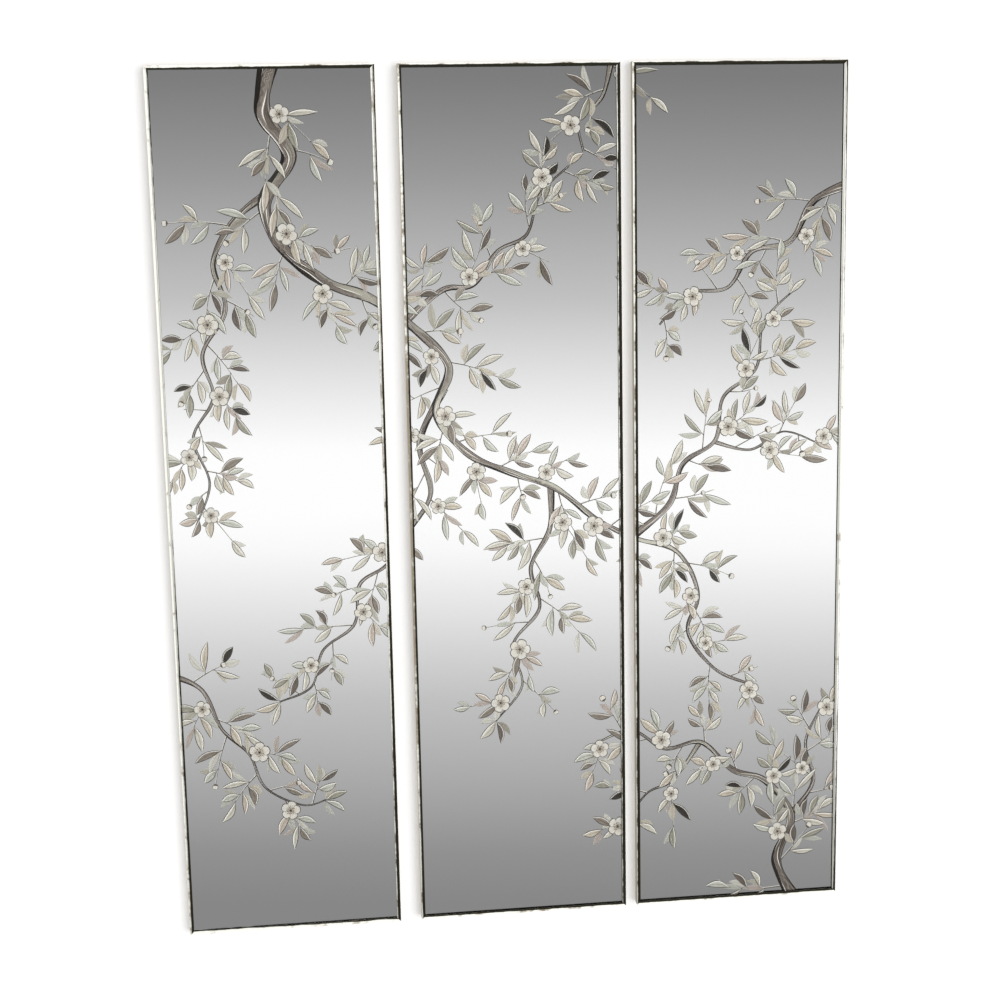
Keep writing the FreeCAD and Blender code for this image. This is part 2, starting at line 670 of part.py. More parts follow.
os.makedirs("parts", exist_ok=True)
grown_stems, grown_leaves, grown_blooms, grown_buds = grow()
painted = ([stem_face(stem) for stem in grown_stems],
           [leaf_face(leaf) for leaf in grown_leaves],
           [bloom_face(bloom) for bloom in grown_blooms] + [bud_face(bud) for bud in grown_buds])
for panel_side in LEFT_EDGES:
    for node, shape in panel(panel_side, painted).items():
        shape.exportStep(os.path.join("parts", node + ".step"))
print(len(grown_stems), "stems", len(grown_leaves), "leaves", len(grown_blooms), "blossoms",
      len(grown_buds), "buds")
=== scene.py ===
"""Triptych mirror: the looks of three tall framed mirror panels that hang side by side on a wall.

Metres. X runs to the right, Y into the wall, Z up, as in the frame that is loaded here. The painted
design behind the glass is laid out in millimetres and put into the meshes in metres.
"""
import math

import bmesh
import bpy
import numpy as np
from mathutils import Matrix, Vector


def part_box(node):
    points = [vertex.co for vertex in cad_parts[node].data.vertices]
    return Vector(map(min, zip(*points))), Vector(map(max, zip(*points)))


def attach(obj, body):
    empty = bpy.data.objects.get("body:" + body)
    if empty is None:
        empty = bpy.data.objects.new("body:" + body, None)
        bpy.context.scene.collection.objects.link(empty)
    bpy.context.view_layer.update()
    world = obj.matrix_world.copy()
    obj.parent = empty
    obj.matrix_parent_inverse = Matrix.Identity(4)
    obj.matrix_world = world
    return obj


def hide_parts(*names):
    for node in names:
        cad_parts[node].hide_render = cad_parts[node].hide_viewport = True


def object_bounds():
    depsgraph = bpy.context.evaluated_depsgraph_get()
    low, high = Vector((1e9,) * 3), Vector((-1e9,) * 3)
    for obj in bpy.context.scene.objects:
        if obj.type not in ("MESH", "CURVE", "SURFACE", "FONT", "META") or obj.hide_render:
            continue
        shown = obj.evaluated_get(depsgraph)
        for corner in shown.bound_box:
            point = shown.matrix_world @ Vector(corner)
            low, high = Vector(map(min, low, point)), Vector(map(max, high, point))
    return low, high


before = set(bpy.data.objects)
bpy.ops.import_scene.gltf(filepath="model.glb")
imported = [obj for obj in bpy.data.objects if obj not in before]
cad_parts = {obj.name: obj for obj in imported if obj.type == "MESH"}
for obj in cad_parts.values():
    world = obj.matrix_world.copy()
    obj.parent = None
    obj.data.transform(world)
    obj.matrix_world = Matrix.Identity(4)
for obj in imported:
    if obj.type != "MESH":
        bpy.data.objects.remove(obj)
cad_low, cad_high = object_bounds()
SIDES = ("left", "centre", "right")


# Camera
# A standing photographer's eye, a little left of the set and 3.4 m off, held almost level. The aim and
# the slight roll are those at which the corners of the three mirrors fall where they are seen.
EYE = (-0.4216, -3.371, 1.508)
AIM = (0.1133, 0.9794, -0.1669)
ROLL_DEGREES = -1.155
LENS_MM = 58.63
SENSOR_MM = 36.0

camera = bpy.data.objects.new("camera", bpy.data.cameras.new("camera"))
bpy.context.scene.collection.objects.link(camera)
bpy.context.scene.camera = camera
camera.data.lens = LENS_MM
camera.data.sensor_width = SENSOR_MM
camera.data.sensor_fit = "HORIZONTAL"
roll = Matrix.Rotation(math.radians(ROLL_DEGREES), 3, "Z")
eye_turn = Vector(AIM).to_track_quat("-Z", "Y").to_matrix() @ roll
camera.matrix_world = Matrix.Translation(EYE) @ eye_turn.to_4x4()
bpy.context.scene.view_settings.view_transform = "Standard"


# Room light
# The mirrors face a long bright band, level with the eye, that fades to grey above and below it. White
# sheets above, below, at the upper left and on the far right give the mouldings their light edges.
BAND_STRENGTH = 1.04
BAND_SPREAD = 0.3
# How far up from the middle of the picture, and how bright the band is there.
BAND_SHADES = (
    (-1.00, 0.55), (-0.60, 0.50), (-0.31, 0.235), (-0.249, 0.242), (-0.218, 0.283), (-0.125, 0.527),
    (-0.095, 0.650), (-0.063, 0.80), (-0.032, 0.945), (-0.012, 0.985), (0.029, 0.985), (0.122, 0.533),
    (0.168, 0.402), (0.199, 0.316), (0.230, 0.254), (0.261, 0.202), (0.31, 0.195), (0.60, 0.45),
    (1.00, 0.55),
)
SHEET_COLOUR = (1.27, 1.27, 1.26, 1)
ABOVE_EDGE = (0.15, 0.35)
BELOW_EDGE = (-0.55, -0.72)
RIGHT_COLOUR = (0.50, 0.50, 0.48, 1)
RIGHT_EDGE = (0.45, 0.68)
FAR_RIGHT_EDGE = (0.70, 0.84)
LEFT_COLOUR = (0.52, 0.52, 0.48, 1)
LEFT_EDGE = (-0.40, -0.52)
UPPER_LEFT = (-1.5, 0, 1)
UPPER_LEFT_EDGE = (0.70, 0.92)
SKY_GREY = (0.45, 0.45, 0.45, 1)
WHITE = (1, 1, 1, 1)


def node(tree, kind, inputs=None, **settings):
    """A new node of a tree: each input, by name or number, is given a value or linked to a socket."""
    made = tree.nodes.new("ShaderNode" + kind)
    for name, value in settings.items():
        setattr(made, name, value)
    for key, value in (inputs or {}).items():
        if isinstance(value, bpy.types.NodeSocket):
            tree.links.new(value, made.inputs[key])
        else:
            made.inputs[key].default_value = value
    return made


def maths(tree, operation, *values):
    """The result of one sum on values or sockets."""
    return node(tree, "Math", dict(enumerate(values)), operation=operation).outputs[0]


def dot(tree, vector, direction):
    """How far a vector socket runs along a direction."""
    return node(tree, "VectorMath", {0: vector, 1: direction}, operation="DOT_PRODUCT").outputs["Value"]


def eased(tree, value, low, high):
    """0 where the value is low, 1 where it is high, with a smooth step between. Low may be the greater."""
    ends = {"Value": value, "From Min": low, "From Max": high}
    return node(tree, "MapRange", ends, interpolation_type="SMOOTHSTEP").outputs["Result"]


def mixed(tree, share, first, second, way="MIX"):
    """The first colour passing into the second with the share."""
    return node(tree, "Mix", {0: share, 6: first, 7: second}, data_type="RGBA", blend_type=way).outputs[2]


def ramp(tree, value, stops, interpolation="LINEAR"):
    """A colour that follows the value through stops, each a place from 0 to 1 and a colour."""
    made = node(tree, "ValToRGB", {0: value})
    made.color_ramp.interpolation = interpolation
    elements = made.color_ramp.elements
    while len(elements) < len(stops):
        elements.new(0.5)
    for element, (place, colour) in zip(elements, stops):
        element.position = place
        element.color = colour
    return made.outputs["Color"]


def grey(shade):
    """The grey colour of this brightness."""
    return (shade, shade, shade, 1)


world = bpy.data.worlds.new("studio")
bpy.context.scene.world = world
world.use_nodes = True
air = world.node_tree
air.nodes.clear()
heading = node(air, "TexCoord").outputs["Generated"]
in_mirror = Vector((1, -1, 1))
band_up = eye_turn @ Vector((0, 1, 0)) * in_mirror
band_ahead = eye_turn @ Vector((0, 0, -1)) * in_mirror
rise = maths(air, "DIVIDE", dot(air, heading, band_up),
             maths(air, "MAXIMUM", dot(air, heading, band_ahead), BAND_SPREAD))
band = ramp(air, maths(air, "MULTIPLY_ADD", rise, 0.5, 0.5),
            [((up + 1) / 2, grey(shade * BAND_STRENGTH)) for up, shade in BAND_SHADES])
to_right = dot(air, heading, (1, 0, 0))
to_top = dot(air, heading, (0, 0, 1))
to_upper_left = dot(air, heading, UPPER_LEFT)
on_left = mixed(air, eased(air, to_upper_left, *UPPER_LEFT_EDGE), LEFT_COLOUR, SHEET_COLOUR)
seen = mixed(air, eased(air, to_top, *ABOVE_EDGE), band, SHEET_COLOUR)
seen = mixed(air, eased(air, to_top, *BELOW_EDGE), seen, SHEET_COLOUR)
seen = mixed(air, eased(air, to_right, *RIGHT_EDGE), seen, RIGHT_COLOUR)
seen = mixed(air, eased(air, to_right, *FAR_RIGHT_EDGE), seen, SHEET_COLOUR)
seen = mixed(air, eased(air, to_right, *LEFT_EDGE), seen, on_left)
ray = node(air, "LightPath").outputs
mirrored = maths(air, "MAXIMUM", ray["Is Glossy Ray"], ray["Is Transmission Ray"])
lit = mixed(air, ray["Is Camera Ray"], mixed(air, mirrored, SKY_GREY, seen), WHITE)
node(air, "OutputWorld", {0: node(air, "Background", {0: lit}).outputs[0]})


# Wall, floor and lamps
# A white wall close behind the panels takes their soft shadow, which falls to the left because the broad
# lamp stands to the right. A pale floor lies below, and a second lamp lights the backs from behind.
WALL_ROOM = 0.00025
ROOM_REACH = 7.0
FLOOR_DROP = 0.25
WALL_GLOW = 0.255
FLOOR_GLOW = 0.66
WALL_WHITE = (0.78, 0.78, 0.78, 1)
KEY_FROM = (0.454, -0.891, 0.0)
KEY_SPREAD_DEGREES = 54
KEY_POWER = 2.14
BACK_FROM = (-0.35, 0.80, 0.45)
BACK_POWER = 1.4


def stage_plane(name, corners, glow):
    """A flat sheet of the room that glows a little to the eye and isn't there from behind."""
    mesh = bpy.data.meshes.new(name)
    mesh.from_pydata(corners, [], [(0, 1, 2, 3)])
    plane = bpy.data.objects.new(name, mesh)
    bpy.context.scene.collection.objects.link(plane)
    material = bpy.data.materials.new(name)
    material.use_nodes = True
    tree = material.node_tree
    tree.nodes.clear()
    to_eye = node(tree, "LightPath").outputs["Is Camera Ray"]
    shine = node(tree, "Emission", {"Strength": maths(tree, "MULTIPLY", to_eye, glow)}).outputs[0]
    matt = node(tree, "BsdfDiffuse", {"Color": WALL_WHITE}).outputs[0]
    front = node(tree, "AddShader", {0: matt, 1: shine}).outputs[0]
    clear = node(tree, "BsdfTransparent").outputs[0]
    behind = node(tree, "NewGeometry").outputs["Backfacing"]
    node(tree, "OutputMaterial", {0: node(tree, "MixShader", {0: behind, 1: front, 2: clear}).outputs[0]})
    mesh.materials.append(material)
    plane.visible_glossy = False
    plane.visible_diffuse = False
    plane.visible_shadow = False


reach = ROOM_REACH
wall_y = cad_high.y + WALL_ROOM
stage_plane("wall", [(-reach, wall_y, -FLOOR_DROP), (reach, wall_y, -FLOOR_DROP),
                     (reach, wall_y, reach), (-reach, wall_y, reach)], WALL_GLOW)
stage_plane("floor", [(-reach, -reach, -FLOOR_DROP), (reach, -reach, -FLOOR_DROP),
                      (reach, reach, -FLOOR_DROP), (-reach, reach, -FLOOR_DROP)], FLOOR_GLOW)


def far_lamp(name, source, power, spread_degrees):
    """A lamp so far off that its light falls evenly, seen under the spread as a disc."""
    lamp = bpy.data.objects.new(name, bpy.data.lights.new(name, "SUN"))
    bpy.context.scene.collection.objects.link(lamp)
    lamp.data.energy = power
    lamp.data.angle = math.radians(spread_degrees)
    lamp.rotation_euler = Vector(source).to_track_quat("Z", "Y").to_euler()
    lamp.visible_glossy = False


far_lamp("key_lamp", KEY_FROM, KEY_POWER, KEY_SPREAD_DEGREES)
far_lamp("back_lamp", BACK_FROM, BACK_POWER, KEY_SPREAD_DEGREES)


# Brass mouldings
# Thin drawn brass, mitred at the corners and left to age: a champagne tone with brown patches where the
# lacquer has gone, a brighter line on the ridge that is part wear and part painted highlight, dull flanks
# in a darker brass that is painted shade, and black bands over the face, from the glass outwards or from
# the outside inwards, that are part tarnish and part painted dark reflection and shade.
BRASS_CLEAN = (0.86, 0.855, 0.795, 1)
BRASS_BROWN = (0.38, 0.33, 0.255, 1)
# Painted shade: the darker brass of the sideways flanks.
BRASS_FLANK_SHADE = (0.42, 0.395, 0.325, 1)
# Black of the bands: part tarnish, part painted dark reflection and shade.
BRASS_BLACK = (0.032, 0.030, 0.021, 1)
# The ridge line's colour: part wear, part painted highlight.
BRASS_WORN_AND_HIGHLIGHT = (0.90, 0.89, 0.83, 1)
MITRE_DIRT = (0.035, 0.03, 0.02, 1)
BRASS_SMOOTH = 0.24
BRASS_DULL = 0.46
PATCHES_PER_METRE = 26
PATCH_REACH = 0.42
PATCH_EDGE = (0.54, 0.70)
SPECKS_PER_METRE = 700
SPECK_EDGE = (0.60, 0.75)
SPECK_SHARE = 0.35
SPECK_DEPTH = 0.00004
SPECK_STRENGTH = 0.35
RIDGE_BAND = 0.0003
RIDGE_SHARE = 0.7
BLACK_SWAY = 0.6
BLACK_EDGE = 0.12
MITRE_HALF_LINE = 0.00012
FLANK_MARGIN = 0.0005
# By even steps from the foot or left end: how far the brass has turned brown, and the share of its face
# that is black, from the glass outwards or, below zero, from the outside inwards. The black is part tarnish
# and part painted dark reflection and shade, set for each moulding where its face shows dark.
AGE_SHARES = {
    "left_top_rail": ((0.00, 0.00, 0.05), (0.42, 0.62, 0.84)),
    "left_bottom_rail": ((0.00, 0.05, 0.10), (0.05, 0.24, 0.34)),
    "left_left_stile": ((0.10, 0.00, 0.00), (0.58, 0.42, 0.06, 0.00, 0.26)),
    "left_right_stile": ((0.20, 0.15, 0.15), (-0.84, -0.80, -0.70, -0.42, -0.40)),
    "centre_top_rail": ((0.10, 0.05, 0.10), (0.72, 0.76, 0.84)),
    "centre_bottom_rail": ((0.05, 0.10, 0.10), (0.40, 0.45, 0.52)),
    "centre_left_stile": ((0.00, 0.60, 0.00), (0.74, 0.62, 0.52, 0.48, 0.52)),
    "centre_right_stile": ((0.25, 0.15, 0.00), (-0.92, -0.94, -0.90)),
    "right_top_rail": ((0.10, 0.05, 0.10), (0.84, 0.86, 0.90)),
    "right_bottom_rail": ((0.05, 0.05, 0.05), (0.58, 0.60, 0.60)),
    "right_left_stile": ((0.15, 0.25, 0.05), (0.86, 0.84, 0.80, 0.68, 0.62)),
    "right_right_stile": ((0.00, 0.00, 0.00), (-0.78, -0.20, 0.00, -0.16, -0.50)),
}


def finish(name, roughness=0.5, metallic=0.0):
    """A new material with its tree and its Principled shader."""
    material = bpy.data.materials.new(name)
    material.use_nodes = True
    tree = material.node_tree
    shader = tree.nodes["Principled BSDF"]
    shader.inputs["Roughness"].default_value = roughness
    shader.inputs["Metallic"].default_value = metallic
    return material, tree, shader


def place_on(tree, scale=(1, 1, 1)):
    """The place on the object in metres, stretched by the scale."""
    spot = node(tree, "TexCoord").outputs["Object"]
    return node(tree, "Mapping", {"Vector": spot, "Scale": scale}).outputs[0]


def noise(tree, vector, scale, detail=2.0, roughness=0.5):
    """Soft noise from 0 to 1."""
    inputs = {"Vector": vector, "Scale": scale, "Detail": detail, "Roughness": roughness}
    return node(tree, "TexNoise", inputs).outputs[0]


def relief(tree, shader, height, depth, strength=0.5):
    """Gives the shader the small relief of a height from 0 to 1, at this depth in metres."""
    bump = node(tree, "Bump", {"Height": height, "Distance": depth, "Strength": strength})
    tree.links.new(bump.outputs[0], shader.inputs["Normal"])


def scaled(tree, value, low, high):
    """A value from 0 to 1 spread from low to high."""
    return maths(tree, "MULTIPLY_ADD", value, high - low, low)


def wear(nodes, material):
    """Puts the material on CAD nodes."""
    for name in nodes:
        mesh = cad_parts[name].data
        mesh.materials.clear()
        mesh.materials.append(material)


def shared_along(tree, passed, shares):
    """A share that runs through the given ones, without their signs, from one end to the other."""
    steps = len(shares) - 1
    return ramp(tree, passed, [(i / steps, grey(abs(share))) for i, share in enumerate(shares)])


def aged_brass(moulding, browned, blackened):
    """The brass of one moulding, with its row of AGE_SHARES. Its black, part tarnish and part painted dark
    reflection and shade, has an uneven edge. Its flank is where it faces sideways at the outer edge, painted
    in a darker brass as shade, and its mitres lie as far from the panel's side as from its end."""
    side = moulding.split("_")[0]
    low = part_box(side + "_left_stile")[0]
    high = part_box(side + "_right_stile")[1]
    middle, half = (low + high) / 2, (high - low) / 2
    material, tree, shader = finish("aged_brass_" + moulding, metallic=1.0)
    spot = place_on(tree)
    parts = node(tree, "SeparateXYZ", {0: spot}).outputs
    off_middle = maths(tree, "ABSOLUTE", maths(tree, "SUBTRACT", parts["X"], middle.x))
    off_level = maths(tree, "ABSOLUTE", maths(tree, "SUBTRACT", parts["Z"], middle.z))
    off_side = maths(tree, "SUBTRACT", half.x, off_middle)
    off_end = maths(tree, "SUBTRACT", half.z, off_level)
    off_edge = maths(tree, "MINIMUM", off_side, off_end)
    way = Vector((0.5 / half.x, 0, 0) if moulding.endswith("rail") else (0, 0, 0.5 / half.z))
    passed = maths(tree, "SUBTRACT", dot(tree, spot, way), way.dot(middle) - 0.5)
    inwards = maths(tree, "DIVIDE", off_edge, moulding_face)
    if min(blackened) < 0:
        inwards = maths(tree, "SUBTRACT", 1.0, inwards)
    brown_share = shared_along(tree, passed, browned)
    black_share = shared_along(tree, passed, blackened)
    clouds = noise(tree, spot, PATCHES_PER_METRE, detail=6.0, roughness=0.7)
    patches = eased(tree, maths(tree, "MULTIPLY_ADD", brown_share, PATCH_REACH, clouds), *PATCH_EDGE)
    specks = eased(tree, noise(tree, spot, SPECKS_PER_METRE, detail=3.0), *SPECK_EDGE)
    facing = node(tree, "SeparateXYZ", {0: node(tree, "TexCoord").outputs["Normal"]}).outputs["Y"]
    off_flank = maths(tree, "ADD", maths(tree, "ABSOLUTE", facing), off_edge)
    # The sideways flanks, which take a darker brass as painted shade and a duller finish.
    shaded_flank = maths(tree, "LESS_THAN", off_flank, FLANK_MARGIN)
    aged = maths(tree, "MAXIMUM", patches, maths(tree, "MULTIPLY", specks, SPECK_SHARE))
    # Black bands reaching in from the glass or from the outside edge: part tarnish, part painted dark
    # reflection and shade.
    black_reach = maths(tree, "MULTIPLY_ADD", clouds, BLACK_SWAY, maths(tree, "ADD", inwards, black_share))
    black_from = 1 + BLACK_SWAY / 2
    darkening = eased(tree, black_reach, black_from, black_from + BLACK_EDGE)
    darkening = maths(tree, "MULTIPLY", darkening, eased(tree, black_share, 0.0, BLACK_EDGE))
    # A paler line along the ridge: part wear, part painted highlight.
    ridge_wear_and_highlight = maths(tree, "MULTIPLY", eased(tree, parts["Y"], low.y + RIDGE_BAND, low.y), RIDGE_SHARE)
    colour = mixed(tree, aged, BRASS_CLEAN, BRASS_BROWN)
    colour = mixed(tree, ridge_wear_and_highlight, colour, BRASS_WORN_AND_HIGHLIGHT)
    colour = mixed(tree, darkening, colour, BRASS_BLACK)
    colour = mixed(tree, shaded_flank, colour, BRASS_FLANK_SHADE)
    off_mitre = maths(tree, "ABSOLUTE", maths(tree, "SUBTRACT", off_side, off_end))
    line = eased(tree, off_mitre, 2 * MITRE_HALF_LINE, MITRE_HALF_LINE)
    tree.links.new(mixed(tree, line, colour, MITRE_DIRT), shader.inputs["Base Color"])
    dull = maths(tree, "MAXIMUM", maths(tree, "MAXIMUM", aged, shaded_flank), darkening)
    tree.links.new(scaled(tree, dull, BRASS_SMOOTH, BRASS_DULL), shader.inputs["Roughness"])
    relief(tree, shader, noise(tree, spot, SPECKS_PER_METRE), SPECK_DEPTH, SPECK_STRENGTH)
    return material


stile_low, stile_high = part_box("left_left_stile")
moulding_face = stile_high.x - stile_low.x
for moulding, shares in AGE_SHARES.items():
    wear([moulding], aged_brass(moulding, *shares))


# Edge screws
# Small slotted countersunk screws of plain brass, through the mouldings into the edge of the backboard.
# Their heads are turned, so fine tool marks and a little tarnish show.
SCREW_BRIGHT = (0.62, 0.51, 0.31, 1)
SCREW_TARNISH = (0.26, 0.19, 0.10, 1)
SCREW_CLOUDS_PER_METRE = 900
SCREW_TARNISH_EDGE = (0.42, 0.68)
SCREW_ROUGHNESS = (0.28, 0.5)
TOOL_MARKS_PER_METRE = 2600
TOOL_MARK_DEPTH = 0.00003

screw_brass, tree, shader = finish("screw_brass", metallic=1.0)
spot = place_on(tree)
clouds = noise(tree, spot, SCREW_CLOUDS_PER_METRE, detail=4.0, roughness=0.6)
darkening = eased(tree, clouds, *SCREW_TARNISH_EDGE)
tree.links.new(mixed(tree, darkening, SCREW_BRIGHT, SCREW_TARNISH), shader.inputs["Base Color"])
tree.links.new(scaled(tree, darkening, *SCREW_ROUGHNESS), shader.inputs["Roughness"])
relief(tree, shader, noise(tree, spot, TOOL_MARKS_PER_METRE), TOOL_MARK_DEPTH)
wear([side + "_edge_screws" for side in SIDES], screw_brass)


# Glass
# A 3 mm sheet of clear float glass in each frame. It shows only as the faint reflection of its faces,
# because all the light that passes comes back from the silver and the paint right behind it.
GLASS_TINT = (0.96, 0.985, 0.975, 1)
GLASS_SHARE = 0.02

clear_glass, tree, shader = finish("clear_glass", roughness=0.0, metallic=1.0)
shader.inputs["Base Color"].default_value = GLASS_TINT
shader.inputs["Alpha"].default_value = GLASS_SHARE
wear([side + "_glass" for side in SIDES], clear_glass)


# Silvering
# The mirror coat over the paint and the rest of the glass's back. It is bright and even, with a very
# slight unevenness that softens what it reflects a little from place to place.
SILVER_BRIGHT = (0.975, 0.975, 0.975, 1)
SILVER_SOFT = (0.955, 0.957, 0.955, 1)
SILVER_CLOUDS_PER_METRE = 2.5
SILVER_ROUGHNESS = (0.01, 0.035)

silver, tree, shader = finish("silver", metallic=1.0)
cloud = noise(tree, place_on(tree), SILVER_CLOUDS_PER_METRE, detail=3.0)
tree.links.new(mixed(tree, cloud, SILVER_BRIGHT, SILVER_SOFT), shader.inputs["Base Color"])
tree.links.new(scaled(tree, cloud, *SILVER_ROUGHNESS), shader.inputs["Roughness"])
wear([side + "_silvering" for side in SIDES], silver)


# Layout of the painting
# One design of boughs, twigs, leaves, blossoms and buds runs over all three panels. It is laid out here
# in millimetres, as it is in the coats of the frame's solids, and each coat's strokes follow below.
MILLIMETRE = 0.001
BOUGH_WIDTH = 40.0
BOUGH_SHARES = (
    (1.00, 0.16, 0.05, ((0.173, 1.008), (0.160, 0.951), (0.194, 0.902), (0.157, 0.851), (0.184, 0.798),
                        (0.241, 0.762), (0.300, 0.744), (0.362, 0.709), (0.411, 0.664), (0.391, 0.612),
                        (0.437, 0.563), (0.503, 0.538), (0.565, 0.519), (0.624, 0.481), (0.683, 0.456),
                        (0.748, 0.437), (0.780, 0.385), (0.764, 0.339), (0.806, 0.292), (0.860, 0.271))),
    (0.44, 0.10, 0.08, ((0.162, 0.862), (0.114, 0.833), (0.082, 0.787), (0.096, 0.735), (0.061, 0.686),
                        (0.073, 0.637), (0.042, 0.592), (0.062, 0.540), (0.040, 0.492))),
    (0.44, 0.10, 0.10, ((0.350, 0.717), (0.405, 0.751), (0.450, 0.756), (0.485, 0.793), (0.528, 0.811),
                        (0.548, 0.855), (0.590, 0.886))),
    (0.46, 0.10, 0.07, ((0.404, 0.640), (0.366, 0.578), (0.380, 0.519), (0.345, 0.474), (0.313, 0.437),
                        (0.272, 0.415), (0.262, 0.368), (0.215, 0.339), (0.196, 0.296), (0.150, 0.280))),
    (0.40, 0.10, 0.10, ((0.558, 0.522), (0.555, 0.471), (0.526, 0.426), (0.538, 0.377), (0.497, 0.334),
                        (0.510, 0.284), (0.470, 0.243))),
    (0.46, 0.10, 0.10, ((0.680, 0.458), (0.736, 0.495), (0.757, 0.542), (0.806, 0.569), (0.818, 0.619),
                        (0.867, 0.651), (0.879, 0.705), (0.925, 0.742))),
    (0.24, 0.08, 0.20, ((0.803, 0.567), (0.860, 0.556), (0.910, 0.576), (0.965, 0.560))),
    (0.80, 0.12, 0.06, ((0.935, -0.008), (0.905, 0.045), (0.928, 0.100), (0.886, 0.148), (0.835, 0.164),
                        (0.785, 0.201), (0.728, 0.196), (0.676, 0.221), (0.618, 0.206))),
    (0.42, 0.10, 0.10, ((0.921, 0.098), (0.962, 0.142), (0.950, 0.194), (0.976, 0.240))),
    (0.30, 0.08, 0.12, ((0.782, 0.200), (0.741, 0.156), (0.699, 0.140), (0.660, 0.098))),
    (0.56, 0.12, 0.10, ((1.008, 0.862), (0.952, 0.842), (0.917, 0.797), (0.860, 0.786), (0.824, 0.746),
                        (0.763, 0.740), (0.722, 0.705))),
    (0.40, 0.10, 0.10, ((0.655, 1.008), (0.640, 0.962), (0.606, 0.937), (0.612, 0.902))),
    (0.34, 0.08, 0.10, ((-0.008, 0.318), (0.036, 0.298), (0.062, 0.250), (0.100, 0.218), (0.122, 0.176),
                        (0.176, 0.152), (0.214, 0.158))),
)
KNOT_SHARE = 0.10
KNOT_SPACING = 15.0
SPLINE_STEPS = 4
TWIG_WIDTH = 3.4
TWIG_TIP_WIDTH = 1.6
TWIG_REACH = (55.0, 125.0)
TWIG_SPACING = (36.0, 60.0)
TWIG_ROOM = 2.5
TWIG_ROOT_SHARE = 0.7
TWIG_TAPER_SHARE = 0.25
TWIG_REACH_SHARES = (1.0, 0.7, 0.45)
TWIG_LEAN_DEGREES = (42, 68)
TWIG_CURL_SHARES = (0.02, 0.22)
TWIG_STEPS = 3
TWIG_TESTS = 4
# Twigs take turns, by their number: one with a bud at its tip, one with a blossom, one with leaves alone.
LEAF_PAIRS = (3, 4, 5)
BUD_TURN = 0
BLOSSOM_TURN = 1
LEAVES_FROM_SHARE = 0.3
LEAVES_OVER_SHARE = 0.58
NUMBERS_PER_TWIG = 7
LEAF_LENGTH = (44.0, 72.0)
LEAF_WIDTH = (12.5, 18.0)
LEAF_BEND = (1.0, 6.5)
LEAF_LEAN_DEGREES = (32, 60)
LEAF_STALK = 4.0
LEAF_ROOM = 0.8
LEAF_SPOTS = 12
END_LEANS = (0, 0.9, -0.9)
BLOSSOM_RADIUS = (18.0, 25.0)
BLOSSOM_PLACE_SHARE = 0.25
BLOSSOM_ROOM = 2.0
BUD_RADIUS = (5.0, 7.5)
GOLDEN_SHARE = 0.618034
PLASTIC_SHARE = 0.754878
CUBIC_SHARE = 0.569840

set_width = round((cad_high.x - cad_low.x) / MILLIMETRE, 2)
set_height = round((cad_high.z - cad_low.z) / MILLIMETRE, 2)


def vary(count, low, high, share):
    """A value from low to high that steps round by the share with each count."""
    return low + (high - low) * ((count * share) % 1.0)


def smooth(points):
    """A Catmull-Rom line through the points, SPLINE_STEPS to each stretch."""
    ends = [points[0]] + points + [points[-1]]
    line = []
    for a, b, c, d in zip(ends, ends[1:], ends[2:], ends[3:]):
        for step in range(SPLINE_STEPS):
            t = step / SPLINE_STEPS
            line.append(tuple(
                0.5 * (2 * q + (r - p) * t + (2 * p - 5 * q + 4 * r - s) * t ** 2
                       + (3 * q - p - 3 * r + s) * t ** 3) for p, q, r, s in zip(a, b, c, d)))
    return line + [points[-1]]


def along(stem, distance):
    """The point at this distance along the stem, the way it runs there, and half its width."""
    for (x0, z0, half), (x1, z1, _) in zip(stem, stem[1:]):
        step = math.hypot(x1 - x0, z1 - z0)
        if distance <= step:
            break
        distance -= step
    way = ((x1 - x0) / step, (z1 - z0) / step)
    distance = min(distance, step)
    return (x0 + way[0] * distance, z0 + way[1] * distance), way, half


def turned(way, angle):
    """A way turned to the left by an angle."""
    return (way[0] * math.cos(angle) - way[1] * math.sin(angle),
            way[0] * math.sin(angle) + way[1] * math.cos(angle))


def rib_point(leaf, share):
    """A point on a leaf's middle line, which arches by the bend times 4 t (1 - t)."""
    (x, z), way, length, width, bend = leaf
    out, up = length * share, bend * 4 * share * (1 - share)
    return (x + way[0] * out - way[1] * up, z + way[1] * out + way[0] * up)


def leaf_spots(leaf):
    """Circles down the leaf, as x, z and radius, for the test that leaves keep apart."""
    shares = [(i + 0.5) / LEAF_SPOTS for i in range(LEAF_SPOTS)]
    return [rib_point(leaf, share) + (2 * leaf[3] * share * (1 - share),) for share in shares]


def meet(spots, others, room):
    """True if circles of the two groups come closer than the room."""
    return any(math.hypot(a[0] - b[0], a[1] - b[1]) < a[2] + b[2] + room for a in spots for b in others)


def is_free(leaf, leaves):
    """True if the leaf keeps LEAF_ROOM from every leaf that is there."""
    centre = rib_point(leaf, 0.5)
    spots = leaf_spots(leaf)
    for other in leaves:
        if math.dist(centre, rib_point(other, 0.5)) < (leaf[2] + other[2]) / 2 + LEAF_ROOM:
            if meet(spots, leaf_spots(other), LEAF_ROOM):
                return False
    return True


def length_of(line):
    """How long a line of points is."""
    return sum(math.dist(a[:2], b[:2]) for a, b in zip(line, line[1:]))


def tapered(line, width, tip_width):
    """The line's points with half the stem's width at each: it thins to the tip, with slow knots."""
    total, gone, stem = length_of(line), 0.0, []
    for before, point in zip([line[0]] + line, line):
        gone += math.dist(before, point)
        knot = 1 + KNOT_SHARE * math.sin(gone / KNOT_SPACING)
        stem.append(point + ((width + (tip_width - width) * math.sqrt(gone / total)) * knot / 2,))
    return stem


